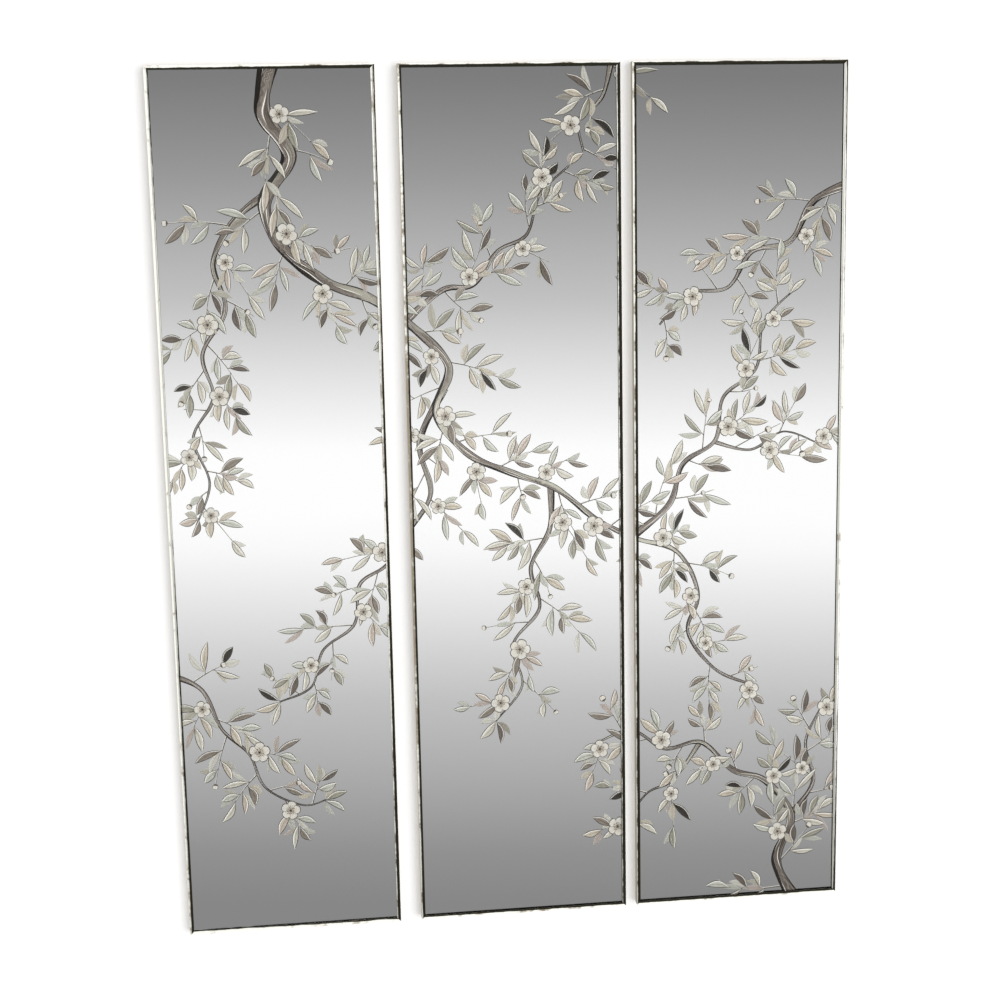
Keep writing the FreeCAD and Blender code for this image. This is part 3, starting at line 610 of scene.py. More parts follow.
def touches(point, stem):
    """True if the point comes within TWIG_ROOM of the stem's edge."""
    for (x0, z0, half), (x1, z1, _) in zip(stem, stem[1:]):
        run = (x1 - x0) ** 2 + (z1 - z0) ** 2
        share = ((point[0] - x0) * (x1 - x0) + (point[1] - z0) * (z1 - z0)) / run
        share = min(max(share, 0), 1)
        away = math.hypot(point[0] - x0 - share * (x1 - x0), point[1] - z0 - share * (z1 - z0))
        if away < half + TWIG_ROOM:
            return True
    return False


def grow_twig(start, way, count, side, size):
    """A twig that leans out from its bough and curls back along it."""
    lean = side * math.radians(vary(count, *TWIG_LEAN_DEGREES, GOLDEN_SHARE))
    reach = vary(count, *TWIG_REACH, PLASTIC_SHARE) * size
    curl = -side * vary(count, *TWIG_CURL_SHARES, CUBIC_SHARE) * reach
    out = turned(way, lean)
    shares = [i / TWIG_STEPS for i in range(TWIG_STEPS + 1)]
    line = [(start[0] + out[0] * reach * t - out[1] * curl * t * t,
             start[1] + out[1] * reach * t + out[0] * curl * t * t) for t in shares]
    return tapered(line, TWIG_WIDTH, TWIG_TIP_WIDTH)


def grow_leaf(place, way, count, size, hand):
    """A leaf on a short stalk."""
    start = (place[0] + way[0] * LEAF_STALK, place[1] + way[1] * LEAF_STALK)
    return (start, way, vary(count, *LEAF_LENGTH, CUBIC_SHARE) * size,
            vary(count, *LEAF_WIDTH, GOLDEN_SHARE), hand * vary(count, *LEAF_BEND, PLASTIC_SHARE))


def free_twig(start, way, count, side, size, own, others):
    """The longest twig that keeps clear of all other stems, and of its own past its root, or None."""
    for share in TWIG_REACH_SHARES:
        twig = grow_twig(start, way, count, side, size * share)
        points = [(a[0] + (b[0] - a[0]) * i / TWIG_TESTS, a[1] + (b[1] - a[1]) * i / TWIG_TESTS)
                  for a, b in zip(twig, twig[1:]) for i in range(1, TWIG_TESTS + 1)]
        if not any(touches(point, own) for point in points[TWIG_TESTS - 1:]):
            if not any(touches(point, stem) for stem in others for point in points):
                return twig
    return None


def grow():
    """All boughs and twigs, leaves, blossoms and buds."""
    stems, leaves, blooms, buds, bud_ways = [], [], [], [], []
    for width_share, tip_share, _, shares in BOUGH_SHARES:
        line = smooth([(set_width * (across - 0.5), set_height * up) for across, up in shares])
        stems.append(tapered(line, BOUGH_WIDTH * width_share, BOUGH_WIDTH * tip_share))
    count = 0
    for line, (_, _, first_share, _) in zip(stems[:], BOUGH_SHARES):
        total = length_of(line)
        place, side = total * first_share, -1
        while place < total:
            count += 1
            side = -side
            middle, way, half = along(line, place)
            out = half * TWIG_ROOT_SHARE * side
            start = (middle[0] - way[1] * out, middle[1] + way[0] * out)
            size = 1 - TWIG_TAPER_SHARE * place / total
            place += vary(count, *TWIG_SPACING, PLASTIC_SHARE)
            others = [stem for stem in stems if stem is not line]
            twig = free_twig(start, way, count, side, size, line, others)
            if twig is None:
                continue
            reach = length_of(twig)
            stems.append(twig)
            turn = count % len(LEAF_PAIRS)
            pairs = LEAF_PAIRS[turn]
            for i in range(pairs + 1):
                at_tip = i == pairs
                share = 1 if at_tip else LEAVES_FROM_SHARE + LEAVES_OVER_SHARE * i / pairs
                spot, run, _ = along(twig, reach * share)
                hand = 1 if (i + count) % 2 else -1
                number = count * NUMBERS_PER_TWIG + i
                lean = 0 if at_tip else hand * math.radians(vary(number, *LEAF_LEAN_DEGREES, PLASTIC_SHARE))
                if at_tip and turn == BUD_TURN:
                    radius = vary(number, *BUD_RADIUS, GOLDEN_SHARE)
                    bud = (spot[0] + run[0] * radius, spot[1] + run[1] * radius, radius)
                    if not meet([bud], blooms + buds, BLOSSOM_ROOM):
                        buds.append(bud)
                        bud_ways.append(run)
                    continue
                leaf = grow_leaf(spot, turned(run, lean), number, size, hand)
                if is_free(leaf, leaves):
                    leaves.append(leaf)
            if turn == BLOSSOM_TURN:
                radius = vary(count, *BLOSSOM_RADIUS, CUBIC_SHARE)
                bloom = along(twig, reach * BLOSSOM_PLACE_SHARE)[0] + (radius,)
                if not meet([bloom], blooms + buds, BLOSSOM_ROOM):
                    blooms.append(bloom)
        end, way, _ = along(line, total)
        for lean in END_LEANS:
            count += 1
            leaf = grow_leaf(end, turned(way, lean), count * NUMBERS_PER_TWIG, 1 - TWIG_TAPER_SHARE, 1)
            if is_free(leaf, leaves):
                leaves.append(leaf)
    return stems, leaves, blooms, buds, bud_ways


stems, leaves, blooms, buds, bud_ways = grow()


# Boughs and twigs
# The last coat of paint before the silver: brushed taupe strokes with a near-black contour that swells and
# thins along the lower side, pale streaks, and finer twigs. Side boughs lie behind those they leave.
BOUGH_LEVELS = (0, 1, 1, 1, 1, 1, 2, 0, 1, 1, 0, 0, 0)
TWIG_LEVEL = 3
LEVEL_STEP = 0.00003
DARK, PALE, BODY = 0, 1, 2
BOUGH_COLUMNS = (DARK, PALE, BODY, PALE, BODY, DARK)
TWIG_COLUMNS = (DARK, BODY, PALE)
TWIG_LINES = (-1, -0.3, 0.35, 1)
LINE_LEAST = 1.5
# Each brush column's width: the span in millimetres, shift, middle and swing of its sines.
DARK_WAVES = ((34, 0.0, 0.32, 0.30), (11, 1.0, 0.04, 0.06))
GAP_WAVES = ((27, 2.0, 0.03, 0.12),)
BODY_WAVES = ((41, 0.6, 0.62, 0.22),)
STREAK_WAVES = ((19, 2.6, 0.02, 0.14),)
EDGE_WAVES = ((31, 1.4, 0.10, 0.14),)
BOUGH_SHIFT = 1.7
BARK_SHADES = (
    (0.34, (0.050, 0.038, 0.031, 1)), (0.43, (0.150, 0.125, 0.106, 1)), (0.54, (0.270, 0.234, 0.205, 1)),
    (0.64, (0.50, 0.452, 0.405, 1)),
)
BARK_PALE = (0.66, 0.65, 0.54, 1)
STREAK_GRAIN = (3.5, 16, 30)
STRETCH_GRAIN = (5.5, 0.8, 17)
STRETCH_EDGE = (0.46, 0.66)
YOUNG_FROM = 0.1
YOUNG_BY = 0.9
OLD_PALE_SHARE = 0.35
CONTOUR_PALE_SHARE = 0.08
HIGHLIGHT_PALE_SHARE = 0.3
BODY_PALE_SHARE = 0.85
CONTOUR_SHADES = ((0.40, (0.006, 0.005, 0.004, 1)), (0.66, (0.030, 0.024, 0.019, 1)))
HIGHLIGHT_SHADES = ((0.35, (0.66, 0.63, 0.56, 1)), (0.60, (0.92, 0.90, 0.84, 1)))
PEARL_SHARE = 0.5
PEARL_ROUGHNESS = 0.24
WELD = 0.000004


def strokes(x, z, front, back, paints, tone, share=None, bowed=False):
    """Strokes of paint as closed solids, from x and z of m strokes, n stations and k points across.

    A section's loop runs over its k front points and back behind them, along all of them where it is bowed
    and along the two outer ones where it is straight. Quads join each loop to the next, and faces from front
    to back close the two ends. The mark on each point is (share along, share across, tone).
    """
    m, n, k = x.shape
    under = np.arange(k)[::-1] if bowed else np.array([k - 1, 0])
    loop = np.r_[np.arange(k), under]
    y = np.r_[np.full(k, front), np.full(len(under), back)]
    points = np.stack(np.broadcast_arrays(x[:, :, loop], y, z[:, :, loop]), -1)
    run = np.linspace(0, 1, n) if share is None else share
    marks = np.stack(np.broadcast_arrays(
        np.broadcast_to(run, (m, n))[:, :, None], loop / (k - 1), np.asarray(tone, float)[:, None, None]), -1)
    index = np.arange(m * n * len(loop)).reshape(m, n, -1)
    near, far = index[:, :-1], index[:, 1:]
    quads = np.stack([near, far, np.roll(far, -1, 2), np.roll(near, -1, 2)], -1)
    ends = index[:, [0, -1]]
    if bowed:
        fore, rear = ends[..., :k], ends[..., :k - 1:-1]
        caps = np.stack([fore[..., :-1], fore[..., 1:], rear[..., 1:], rear[..., :-1]], -1)
    else:
        caps = ends[:, :, None]
    front_paints = np.broadcast_to(np.asarray(paints), (n - 1, k - 1))
    around = np.r_[np.arange(k - 1), k - 2, under[1:], 0]
    quad_paints = np.broadcast_to(front_paints[:, around], quads.shape[:3])
    cap_paints = np.broadcast_to(front_paints[[0, -1], :caps.shape[2]], caps.shape[:3])
    return (points.reshape(-1, 3), marks.reshape(-1, 3), quads.reshape(-1, 4),
            caps.reshape(-1, caps.shape[-1]), np.r_[quad_paints.ravel(), cap_paints.ravel()])


def painted_piece(name, body, node_name, groups, materials):
    """One piece from groups of strokes, cut to its panel's glass, in place of the coat's plain solids."""
    low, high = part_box(node_name.split("_")[0] + "_glass")
    points, marks, faces, paints = [], [], [], []
    for group in groups:
        on_pane = (group["x"].max((1, 2)) > low.x) & (group["x"].min((1, 2)) < high.x)
        if not on_pane.any():
            continue
        first = sum(len(part) for part in points)
        per_stroke = {key: group[key][on_pane] for key in ("x", "z", "tone")}
        made = strokes(**{**group, **per_stroke})
        points.append(made[0])
        marks.append(made[1])
        faces += (made[2] + first).tolist() + (made[3] + first).tolist()
        paints.append(made[4])
    mesh = bpy.data.meshes.new(name)
    mesh.from_pydata(np.concatenate(points).tolist(), [], faces)
    mesh.polygons.foreach_set("material_index", np.concatenate(paints).astype(np.int32))
    marking = mesh.attributes.new("stroke", "FLOAT_VECTOR", "POINT")
    marking.data.foreach_set("vector", np.concatenate(marks).ravel())
    for material in materials:
        mesh.materials.append(material)
    solid = bmesh.new()
    solid.from_mesh(mesh)
    bmesh.ops.remove_doubles(solid, verts=solid.verts, dist=WELD)
    for corner, outwards in ((low, (-1, 0, 0)), (low, (0, 0, -1)), (high, (1, 0, 0)), (high, (0, 0, 1))):
        everything = solid.verts[:] + solid.edges[:] + solid.faces[:]
        bmesh.ops.bisect_plane(solid, geom=everything, dist=WELD, plane_co=corner, plane_no=outwards,
                               clear_outer=True)
        bmesh.ops.holes_fill(solid, edges=[edge for edge in solid.edges if edge.is_boundary], sides=0)
    bmesh.ops.recalc_face_normals(solid, faces=solid.faces)
    solid.to_mesh(mesh)
    solid.free()
    piece = bpy.data.objects.new(name, mesh)
    bpy.context.scene.collection.objects.link(piece)
    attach(piece, body)
    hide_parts(node_name)


def coat(x, z, front, back, paints, tone, **others):
    """A group of strokes, laid out in millimetres, as painted_piece takes it."""
    return dict(x=x * MILLIMETRE, z=z * MILLIMETRE, front=front, back=back, paints=paints, tone=tone,
                **others)


def fanned(path, offsets):
    """Points off a path (m, n, 2) along its normals by the offsets (m, n, k), as x and z."""
    run = np.gradient(path, axis=1)
    run /= np.linalg.norm(run, axis=2, keepdims=True)
    return path[..., :1] - run[..., 1:] * offsets, path[..., 1:] + run[..., :1] * offsets


def bough_strokes(number, stem, front, back):
    """A bough whose brush columns come and go: each width is the half width times slow sines."""
    line = np.array(smooth(stem))[None]
    half = line[..., 2]
    steps = np.diff(line[..., :2], axis=1, prepend=line[:, :1, :2])
    gone = np.cumsum(np.linalg.norm(steps, axis=2), axis=1)

    def width(waves, least):
        """The sum of half (middle + swing sin(gone / span + shift)), and never under the least."""
        return np.maximum(sum(half * (middle + swing * np.sin(gone / span + shift + BOUGH_SHIFT * number))
                              for span, shift, middle, swing in waves), least)

    dark, edge = width(DARK_WAVES, LINE_LEAST), width(EDGE_WAVES, LINE_LEAST)
    gap, body, streak = (width(waves, 0) for waves in (GAP_WAVES, BODY_WAVES, STREAK_WAVES))
    inner = np.cumsum(np.stack([-half, dark, gap, body, streak], -1), -1)
    offsets = np.concatenate([np.minimum(inner, (half - edge)[..., None]), (half - edge)[..., None],
                              half[..., None]], -1)
    to_right = 1 if line[0, -1, 0] > line[0, 0, 0] else -1
    x, z = fanned(line[..., :2], offsets * to_right)
    tone = np.array([number * GOLDEN_SHARE % 1])
    return coat(x, z, front, back, BOUGH_COLUMNS, tone, share=gone[0] * MILLIMETRE)


def marked(tree):
    """The mark that each point of a stroke carries: how far along, how far across, and the tone."""
    mark = node(tree, "Attribute", attribute_name="stroke").outputs["Vector"]
    return mark, node(tree, "SeparateXYZ", {0: mark}).outputs


def paint(name, pearl=0.0):
    """Paint that lies against the glass and so has no gloss of its own, with a share of pearl flakes, which
    softly mirror the room."""
    material, tree, shader = finish(name, roughness=PEARL_ROUGHNESS, metallic=pearl)
    shader.inputs["Specular IOR Level"].default_value = 0
    return material, tree, shader


def drawn_out(tree, mark, grain, detail=3.0):
    """Noise drawn out along a stroke. The grain is how fast it changes along, across and with the tone."""
    stretched = node(tree, "Mapping", {"Vector": mark, "Scale": grain}).outputs[0]
    return noise(tree, stretched, 1.0, detail, roughness=0.6)


def bark_paint(name, shades, pearl, pale):
    """Bark paint, streaked by the brush's hairs, that passes into a paler mix along some stretches, more so
    the further a bough has run."""
    material, tree, shader = paint(name, pearl)
    mark, parts = marked(tree)
    streaked = ramp(tree, drawn_out(tree, mark, STREAK_GRAIN), shades)
    stretch = eased(tree, drawn_out(tree, mark, STRETCH_GRAIN, detail=1.0), *STRETCH_EDGE)
    young = eased(tree, parts["X"], YOUNG_FROM, YOUNG_BY)
    stretch = maths(tree, "MULTIPLY", stretch, scaled(tree, young, OLD_PALE_SHARE * pale, pale))
    tree.links.new(mixed(tree, stretch, streaked, BARK_PALE), shader.inputs["Base Color"])
    return material


bark_paints = [bark_paint("bark_contour", CONTOUR_SHADES, 0.0, CONTOUR_PALE_SHARE),
               bark_paint("bark_highlight", HIGHLIGHT_SHADES, 0.0, HIGHLIGHT_PALE_SHARE),
               bark_paint("bark_body", BARK_SHADES, PEARL_SHARE, BODY_PALE_SHARE)]
twigs = np.array([smooth(stem) for stem in stems[len(BOUGH_LEVELS):]])
twig_hands = np.where(twigs[:, -1:, :1] < twigs[:, :1, :1], -1, 1)
twig_x, twig_z = fanned(twigs[..., :2], twigs[..., 2:] * twig_hands * np.array(TWIG_LINES))
twig_tones = np.arange(len(twigs)) * GOLDEN_SHARE % 1
for side in SIDES:
    coat_low, coat_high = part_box(side + "_boughs")
    groups = [bough_strokes(number, stems[number], coat_low.y + level * LEVEL_STEP, coat_high.y)
              for number, level in enumerate(BOUGH_LEVELS)]
    groups.append(coat(twig_x, twig_z, coat_low.y + TWIG_LEVEL * LEVEL_STEP, coat_high.y,
                       TWIG_COLUMNS, twig_tones))
    painted_piece(side + "_painted_boughs", side + "_panel", side + "_boughs",
                  groups, bark_paints)


# Leaves
# The second coat: long leaves on short stalks in pearl, grey-green, beige, taupe and a few in charcoal,
# each with a fine dark outline, a light rim on its upper side and a shade towards its stalk. A thinner,
# paler leaf lies behind most of them, turned to one side, so that the sprays look full.
LEAF_ENDS = (0.004, 0.996)
LEAF_STATIONS = 9
LEAF_LINE = 1.5
LEAF_RIM = 1.6
PALE_STATIONS = 7
PALE_LINE = 0.8
PALE_RIM = 1.0
PALE_TURN_DEGREES = (26, 52)
PALE_LENGTH_SHARES = (0.62, 0.95)
PALE_WIDTH_SHARES = (0.75, 1.0)
PALE_LEVELS = 4
PALE_SINK = 0.00011
PALE_STEP = 0.00003
STALK_HALF_WIDTHS = (0.9, 0.6, 0.45)
STALK_SINK = 0.00008
LINE, FILL, RIM, PALE_LEAF_LINE, PALE_LEAF_FILL = 0, 1, 2, 3, 4
LEAF_COLUMNS = (LINE, FILL, FILL, RIM, LINE)
PALE_COLUMNS = (PALE_LEAF_LINE, PALE_LEAF_FILL, PALE_LEAF_FILL, PALE_LEAF_FILL, PALE_LEAF_LINE)
LEAF_TONES = (
    (0.00, (0.80, 0.78, 0.69, 1)), (0.28, (0.70, 0.72, 0.65, 1)), (0.44, (0.74, 0.68, 0.57, 1)),
    (0.57, (0.72, 0.64, 0.56, 1)), (0.64, (0.46, 0.455, 0.38, 1)), (0.76, (0.34, 0.30, 0.255, 1)),
    (0.87, (0.21, 0.18, 0.155, 1)), (0.95, (0.060, 0.053, 0.044, 1)),
)
PALE_TONES = (
    (0.00, (0.80, 0.79, 0.71, 1)), (0.30, (0.66, 0.67, 0.60, 1)), (0.50, (0.72, 0.67, 0.56, 1)),
    (0.68, (0.60, 0.585, 0.50, 1)), (0.82, (0.62, 0.55, 0.50, 1)), (0.93, (0.45, 0.42, 0.36, 1)),
)
PALE_PEARL_SHARE = 0.65
PALE_CONTRAST = 0.5
LEAF_SHADE = (0.42, 0.38, 0.32, 1)
WASH_GRAIN = (4, 6.5, 52)
WASH_EDGE = (0.4, 0.7)
WASH_SHARE = 0.3
LOW_SIDE_EDGE = (0.42, 0.15)
LOW_SIDE_SHARE = 0.28
STALK_END_EDGE = (0.45, 0.0)
STALK_END_SHARE = 0.55
MIDRIB = 0.4
MIDRIB_HALF = 0.03
MIDRIB_SHARE = 0.5
# An outline's colours: dark and faint by turns on the lower side, and the one on the upper side.
LEAF_LINES = ((0.030, 0.026, 0.022, 1), (0.12, 0.11, 0.095, 1), (0.15, 0.14, 0.125, 1))
PALE_LEAF_LINES = ((0.20, 0.19, 0.165, 1), (0.38, 0.365, 0.325, 1), (0.52, 0.51, 0.47, 1))
OUTLINE_GRAIN = (3, 1.5, 90)
OUTLINE_EDGE = (0.3, 0.7)
UPPER_SIDE_EDGE = (0.4, 0.6)
RIM_LIGHT = (0.95, 0.94, 0.88, 1)
RIM_LIGHT_SHARE = 0.65


def blades(those, stations, line, rim):
    """The points of leaves as x and z. Half a leaf's width at share t is 2 t (1 - t) of its width, and the
    outline and the rim keep their real widths, so that near a tip they fill it."""
    start = np.array([leaf[0] for leaf in those])
    way = np.array([leaf[1] for leaf in those])
    length, width, bend = (np.array([leaf[i] for leaf in those])[:, None] for i in (2, 3, 4))
    share = np.linspace(*LEAF_ENDS, stations)
    arch = 4 * share * (1 - share)
    half = width / 2 * arch
    inner = np.maximum(half - line, 0)
    across = np.stack([-half, -inner, 0 * half, np.maximum(inner - rim, 0), inner, half], -1)
    offsets = (bend * arch)[..., None] + across * np.where(way[:, :1] < 0, -1, 1)[..., None]
    out = (length * share)[..., None]
    return (start[:, None, :1] + way[:, None, :1] * out - way[:, None, 1:] * offsets,
            start[:, None, 1:] + way[:, None, 1:] * out + way[:, None, :1] * offsets)


def leaf_groups(front, back):
    """All leaves, and their stalks, whose half widths step down along them."""
    start = np.array([leaf[0] for leaf in leaves])
    way = np.array([leaf[1] for leaf in leaves])
    tone = np.arange(len(leaves)) * PLASTIC_SHARE % 1
    stalk_run = np.linspace(-LEAF_STALK, LEAF_STALK, len(STALK_HALF_WIDTHS))[:, None]
    stalk_off = np.array(STALK_HALF_WIDTHS)[:, None] * np.array([-1, 1])
    stalk_x = start[:, None, :1] + way[:, None, :1] * stalk_run - way[:, None, 1:] * stalk_off
    stalk_z = start[:, None, 1:] + way[:, None, 1:] * stalk_run + way[:, None, :1] * stalk_off
    x, z = blades(leaves, LEAF_STATIONS, LEAF_LINE, LEAF_RIM)
    return [coat(x, z, front, back, LEAF_COLUMNS, tone),
            coat(stalk_x, stalk_z, front + STALK_SINK, back, (LINE,), tone)]


def pale_leaves():
    """A leaf turned off to one side behind each leaf, on the first level where it lies over no other."""
    levels = [[] for level in range(PALE_LEVELS)]
    for count, (start, way, length, width, bend) in enumerate(leaves):
        hand = 1 if (count // 2) % 2 else -1
        lean = hand * math.radians(vary(count, *PALE_TURN_DEGREES, GOLDEN_SHARE))
        pale = (start, turned(way, lean), length * vary(count, *PALE_LENGTH_SHARES, CUBIC_SHARE),
                width * vary(count, *PALE_WIDTH_SHARES, PLASTIC_SHARE), bend * hand)
        for level in levels:
            if is_free(pale, level):
                level.append(pale)
                break
    return [level for level in levels if level]


def pale_groups(front, back):
    """The paler leaves, one group for each level."""
    groups = []
    for number, level in enumerate(pale_levels):
        x, z = blades(level, PALE_STATIONS, PALE_LINE, PALE_RIM)
        tone = (np.arange(len(level)) + number) * CUBIC_SHARE % 1
        groups.append(coat(x, z, front + PALE_SINK + number * PALE_STEP, back, PALE_COLUMNS, tone))
    return groups


def leaf_fill_paint(name, tones, pearl, contrast):
    """A leaf's own colour: a brushed wash, a shade on the lower side and at the stalk, and a midrib."""
    material, tree, shader = paint(name, pearl)
    mark, parts = marked(tree)
    off_rib = maths(tree, "ABSOLUTE", maths(tree, "SUBTRACT", parts["Y"], MIDRIB))
    colour = ramp(tree, parts["Z"], tones, "CONSTANT")
    for place, share in ((eased(tree, drawn_out(tree, mark, WASH_GRAIN), *WASH_EDGE), WASH_SHARE),
                         (eased(tree, parts["Y"], *LOW_SIDE_EDGE), LOW_SIDE_SHARE),
                         (eased(tree, parts["X"], *STALK_END_EDGE), STALK_END_SHARE),
                         (eased(tree, off_rib, 2 * MIDRIB_HALF, MIDRIB_HALF), MIDRIB_SHARE)):
        shade = maths(tree, "MULTIPLY", place, share * contrast)
        colour = mixed(tree, shade, colour, LEAF_SHADE, "MULTIPLY")
    tree.links.new(colour, shader.inputs["Base Color"])
    return material


def leaf_line_paint(name, dark, faint, upper):
    """The drawn outline: dark and faint by turns on the lower side, and lighter on the upper side."""
    material, tree, shader = paint(name)
    mark, parts = marked(tree)
    turns = eased(tree, drawn_out(tree, mark, OUTLINE_GRAIN, detail=2.0), *OUTLINE_EDGE)
    on_top = eased(tree, parts["Y"], *UPPER_SIDE_EDGE)
    drawn = mixed(tree, on_top, mixed(tree, turns, dark, faint), upper)
    tree.links.new(drawn, shader.inputs["Base Color"])
    return material


leaf_rim, tree, shader = paint("leaf_rim")
mark, parts = marked(tree)
tone = ramp(tree, parts["Z"], LEAF_TONES, "CONSTANT")
tree.links.new(mixed(tree, RIM_LIGHT_SHARE, tone, RIM_LIGHT), shader.inputs["Base Color"])
leaf_paints = [leaf_line_paint("leaf_outline", *LEAF_LINES),
               leaf_fill_paint("leaf_fill", LEAF_TONES, PEARL_SHARE, 1.0),
               leaf_rim,
               leaf_line_paint("pale_leaf_outline", *PALE_LEAF_LINES),
               leaf_fill_paint("pale_leaf_fill", PALE_TONES, PALE_PEARL_SHARE, PALE_CONTRAST)]
pale_levels = pale_leaves()

for side in SIDES:
    coat_low, coat_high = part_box(side + "_leaves")
    groups = leaf_groups(coat_low.y, coat_high.y) + pale_groups(coat_low.y, coat_high.y)
    painted_piece(side + "_painted_leaves", side + "_panel", side + "_leaves",
                  groups, leaf_paints)


# Blossoms and buds
# The first coat, which comes out in front: five-petalled blossoms in pearl and warm white with lapping
# petals, each notched at its tip, fine veins, and stamens drawn in taupe, and round buds in their cups.
PETALS = 5
PETAL_PLACE_SHARE = 0.57
PETAL_RADIUS_SHARE = 0.43
PETAL_HALF_DEGREES = 43
PETAL_LEVELS = (1, 2, 1, 2, 3)
PETAL_STATIONS = (0.10, 0.45, 0.75, 0.92, 1.0)
PETAL_ACROSS = (-1, -0.90, -0.5, -0.14, 0, 0.14, 0.5, 0.90, 1)
NOTCH_SHARE = 0.07
NOTCH_DEGREES = 7
STAMENS = 13
STAMEN_SINK = 0.00001
STAMEN_RUN = (0.0, 0.72, 0.80, 0.88, 0.95, 1.0)
STAMEN_HALF_WIDTHS = (0.45, 0.30, 0.75, 1.10, 0.80, 0.15)
STAMEN_SHARES = (0.30, 0.46)
BUD_RUN = (0.01, 0.12, 0.28, 0.44, 0.60, 0.76, 0.90, 0.99)
BUD_ACROSS = (-1, -0.82, -0.25, 0.35, 0.82, 1)
OUTLINE, PETAL, CUP = 0, 1, 2
PETAL_PEARL_SHARE = 0.35
PETAL_TONES = ((0.0, (0.88, 0.87, 0.80, 1)), (0.5, (0.86, 0.82, 0.74, 1)), (1.0, (0.82, 0.82, 0.76, 1)))
VEIN_COLOUR = (0.42, 0.38, 0.33, 1)
VEIN_GRAIN = (1.2, 26, 9)
VEIN_SHARE = 0.35
HEART_COLOUR = (0.47, 0.40, 0.30, 1)
HEART_EDGE = (0.5, 0.0)
HEART_SHARE = 0.6
PETAL_LINES = ((0.045, 0.038, 0.031, 1), (0.24, 0.22, 0.19, 1))
PETAL_LINE_GRAIN = 6.0
CUP_BROWNS = ((0.05, 0.04, 0.03, 1), (0.15, 0.12, 0.09, 1))
CUP_GRAIN = 9.0


def blossom_groups(front, back):
    """All blossoms and buds. At the angle a off its middle, a petal of radius q whose middle lies p out has
    its edge p cos a + sqrt(q^2 - (p sin a)^2) from the blossom's centre, less a small notch."""
    bloom = np.array(blooms)[:, :, None, None]
    x0, z0, radius = bloom[:, 0], bloom[:, 1], bloom[:, 2]
    numbers = np.arange(len(blooms))
    groups = []
    lean = np.radians(PETAL_HALF_DEGREES) * np.array(PETAL_ACROSS)
    out, size = PETAL_PLACE_SHARE, PETAL_RADIUS_SHARE
    edge = out * np.cos(lean) + np.sqrt(size ** 2 - (out * np.sin(lean)) ** 2)
    edge = edge * (1 - NOTCH_SHARE * np.exp(-(lean / np.radians(NOTCH_DEGREES)) ** 2))
    reach = radius * np.array(PETAL_STATIONS)[:, None] * edge
    paints = np.full((len(PETAL_STATIONS) - 1, len(PETAL_ACROSS) - 1), PETAL)
    paints[-1] = OUTLINE
    paints[:, [0, -1]] = OUTLINE
    for petal, level in enumerate(PETAL_LEVELS):
        angle = x0 + z0 + 2 * math.pi * petal / PETALS + lean
        tone = (numbers * GOLDEN_SHARE + petal / PETALS) % 1
        groups.append(coat(x0 + reach * np.cos(angle), z0 + reach * np.sin(angle),
                           front + level * LEVEL_STEP, back, paints, tone, bowed=True))
    half = np.array(STAMEN_HALF_WIDTHS)[:, None] * np.array([-1, 1])
    for stamen in range(STAMENS):
        angle = x0 + z0 + 2 * math.pi * stamen / STAMENS
        run = radius * vary(stamen, *STAMEN_SHARES, GOLDEN_SHARE) * np.array(STAMEN_RUN)[:, None]
        groups.append(coat(x0 + np.cos(angle) * run - np.sin(angle) * half,
                           z0 + np.sin(angle) * run + np.cos(angle) * half,
                           front + STAMEN_SINK, front + LEVEL_STEP, (CUP,), numbers * CUBIC_SHARE % 1))
    bud = np.array(buds)[:, :, None, None]
    way = np.array(bud_ways)[:, :, None, None]
    share = np.array(BUD_RUN)[:, None]
    run = bud[:, 2] * (2 * share - 1)
    across = bud[:, 2] * 2 * np.sqrt(share * (1 - share)) * np.array(BUD_ACROSS)
    paints = np.full((len(BUD_RUN) - 1, len(BUD_ACROSS) - 1), PETAL)
    paints[:2] = CUP
    paints[-1] = OUTLINE
    paints[:, [0, -1]] = OUTLINE
    groups.append(coat(bud[:, 0] + way[:, 0] * run - way[:, 1] * across,
                       bud[:, 1] + way[:, 1] * run + way[:, 0] * across,
                       front + LEVEL_STEP, back, paints, np.arange(len(buds)) * GOLDEN_SHARE % 1))
    return groups


petal_paint, tree, shader = paint("petal_paint", PETAL_PEARL_SHARE)
mark, parts = marked(tree)
warm = ramp(tree, parts["Z"], PETAL_TONES)
veins = scaled(tree, drawn_out(tree, mark, VEIN_GRAIN, detail=2.0), 0.0, VEIN_SHARE)
veined = mixed(tree, veins, warm, VEIN_COLOUR, "MULTIPLY")
heart = maths(tree, "MULTIPLY", eased(tree, parts["X"], *HEART_EDGE), HEART_SHARE)
tree.links.new(mixed(tree, heart, veined, HEART_COLOUR), shader.inputs["Base Color"])

petal_line, tree, shader = paint("petal_outline")
mark, _ = marked(tree)
lines = noise(tree, mark, PETAL_LINE_GRAIN)
tree.links.new(mixed(tree, lines, *PETAL_LINES), shader.inputs["Base Color"])

cup_paint, tree, shader = paint("cup_and_stamen_paint")
mark, _ = marked(tree)
tree.links.new(mixed(tree, noise(tree, mark, CUP_GRAIN), *CUP_BROWNS), shader.inputs["Base Color"])

for side in SIDES:
    coat_low, coat_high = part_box(side + "_blossoms")
    painted_piece(side + "_painted_blossoms", side + "_panel", side + "_blossoms",
                  blossom_groups(coat_low.y, coat_high.y), [petal_line, petal_paint, cup_paint])


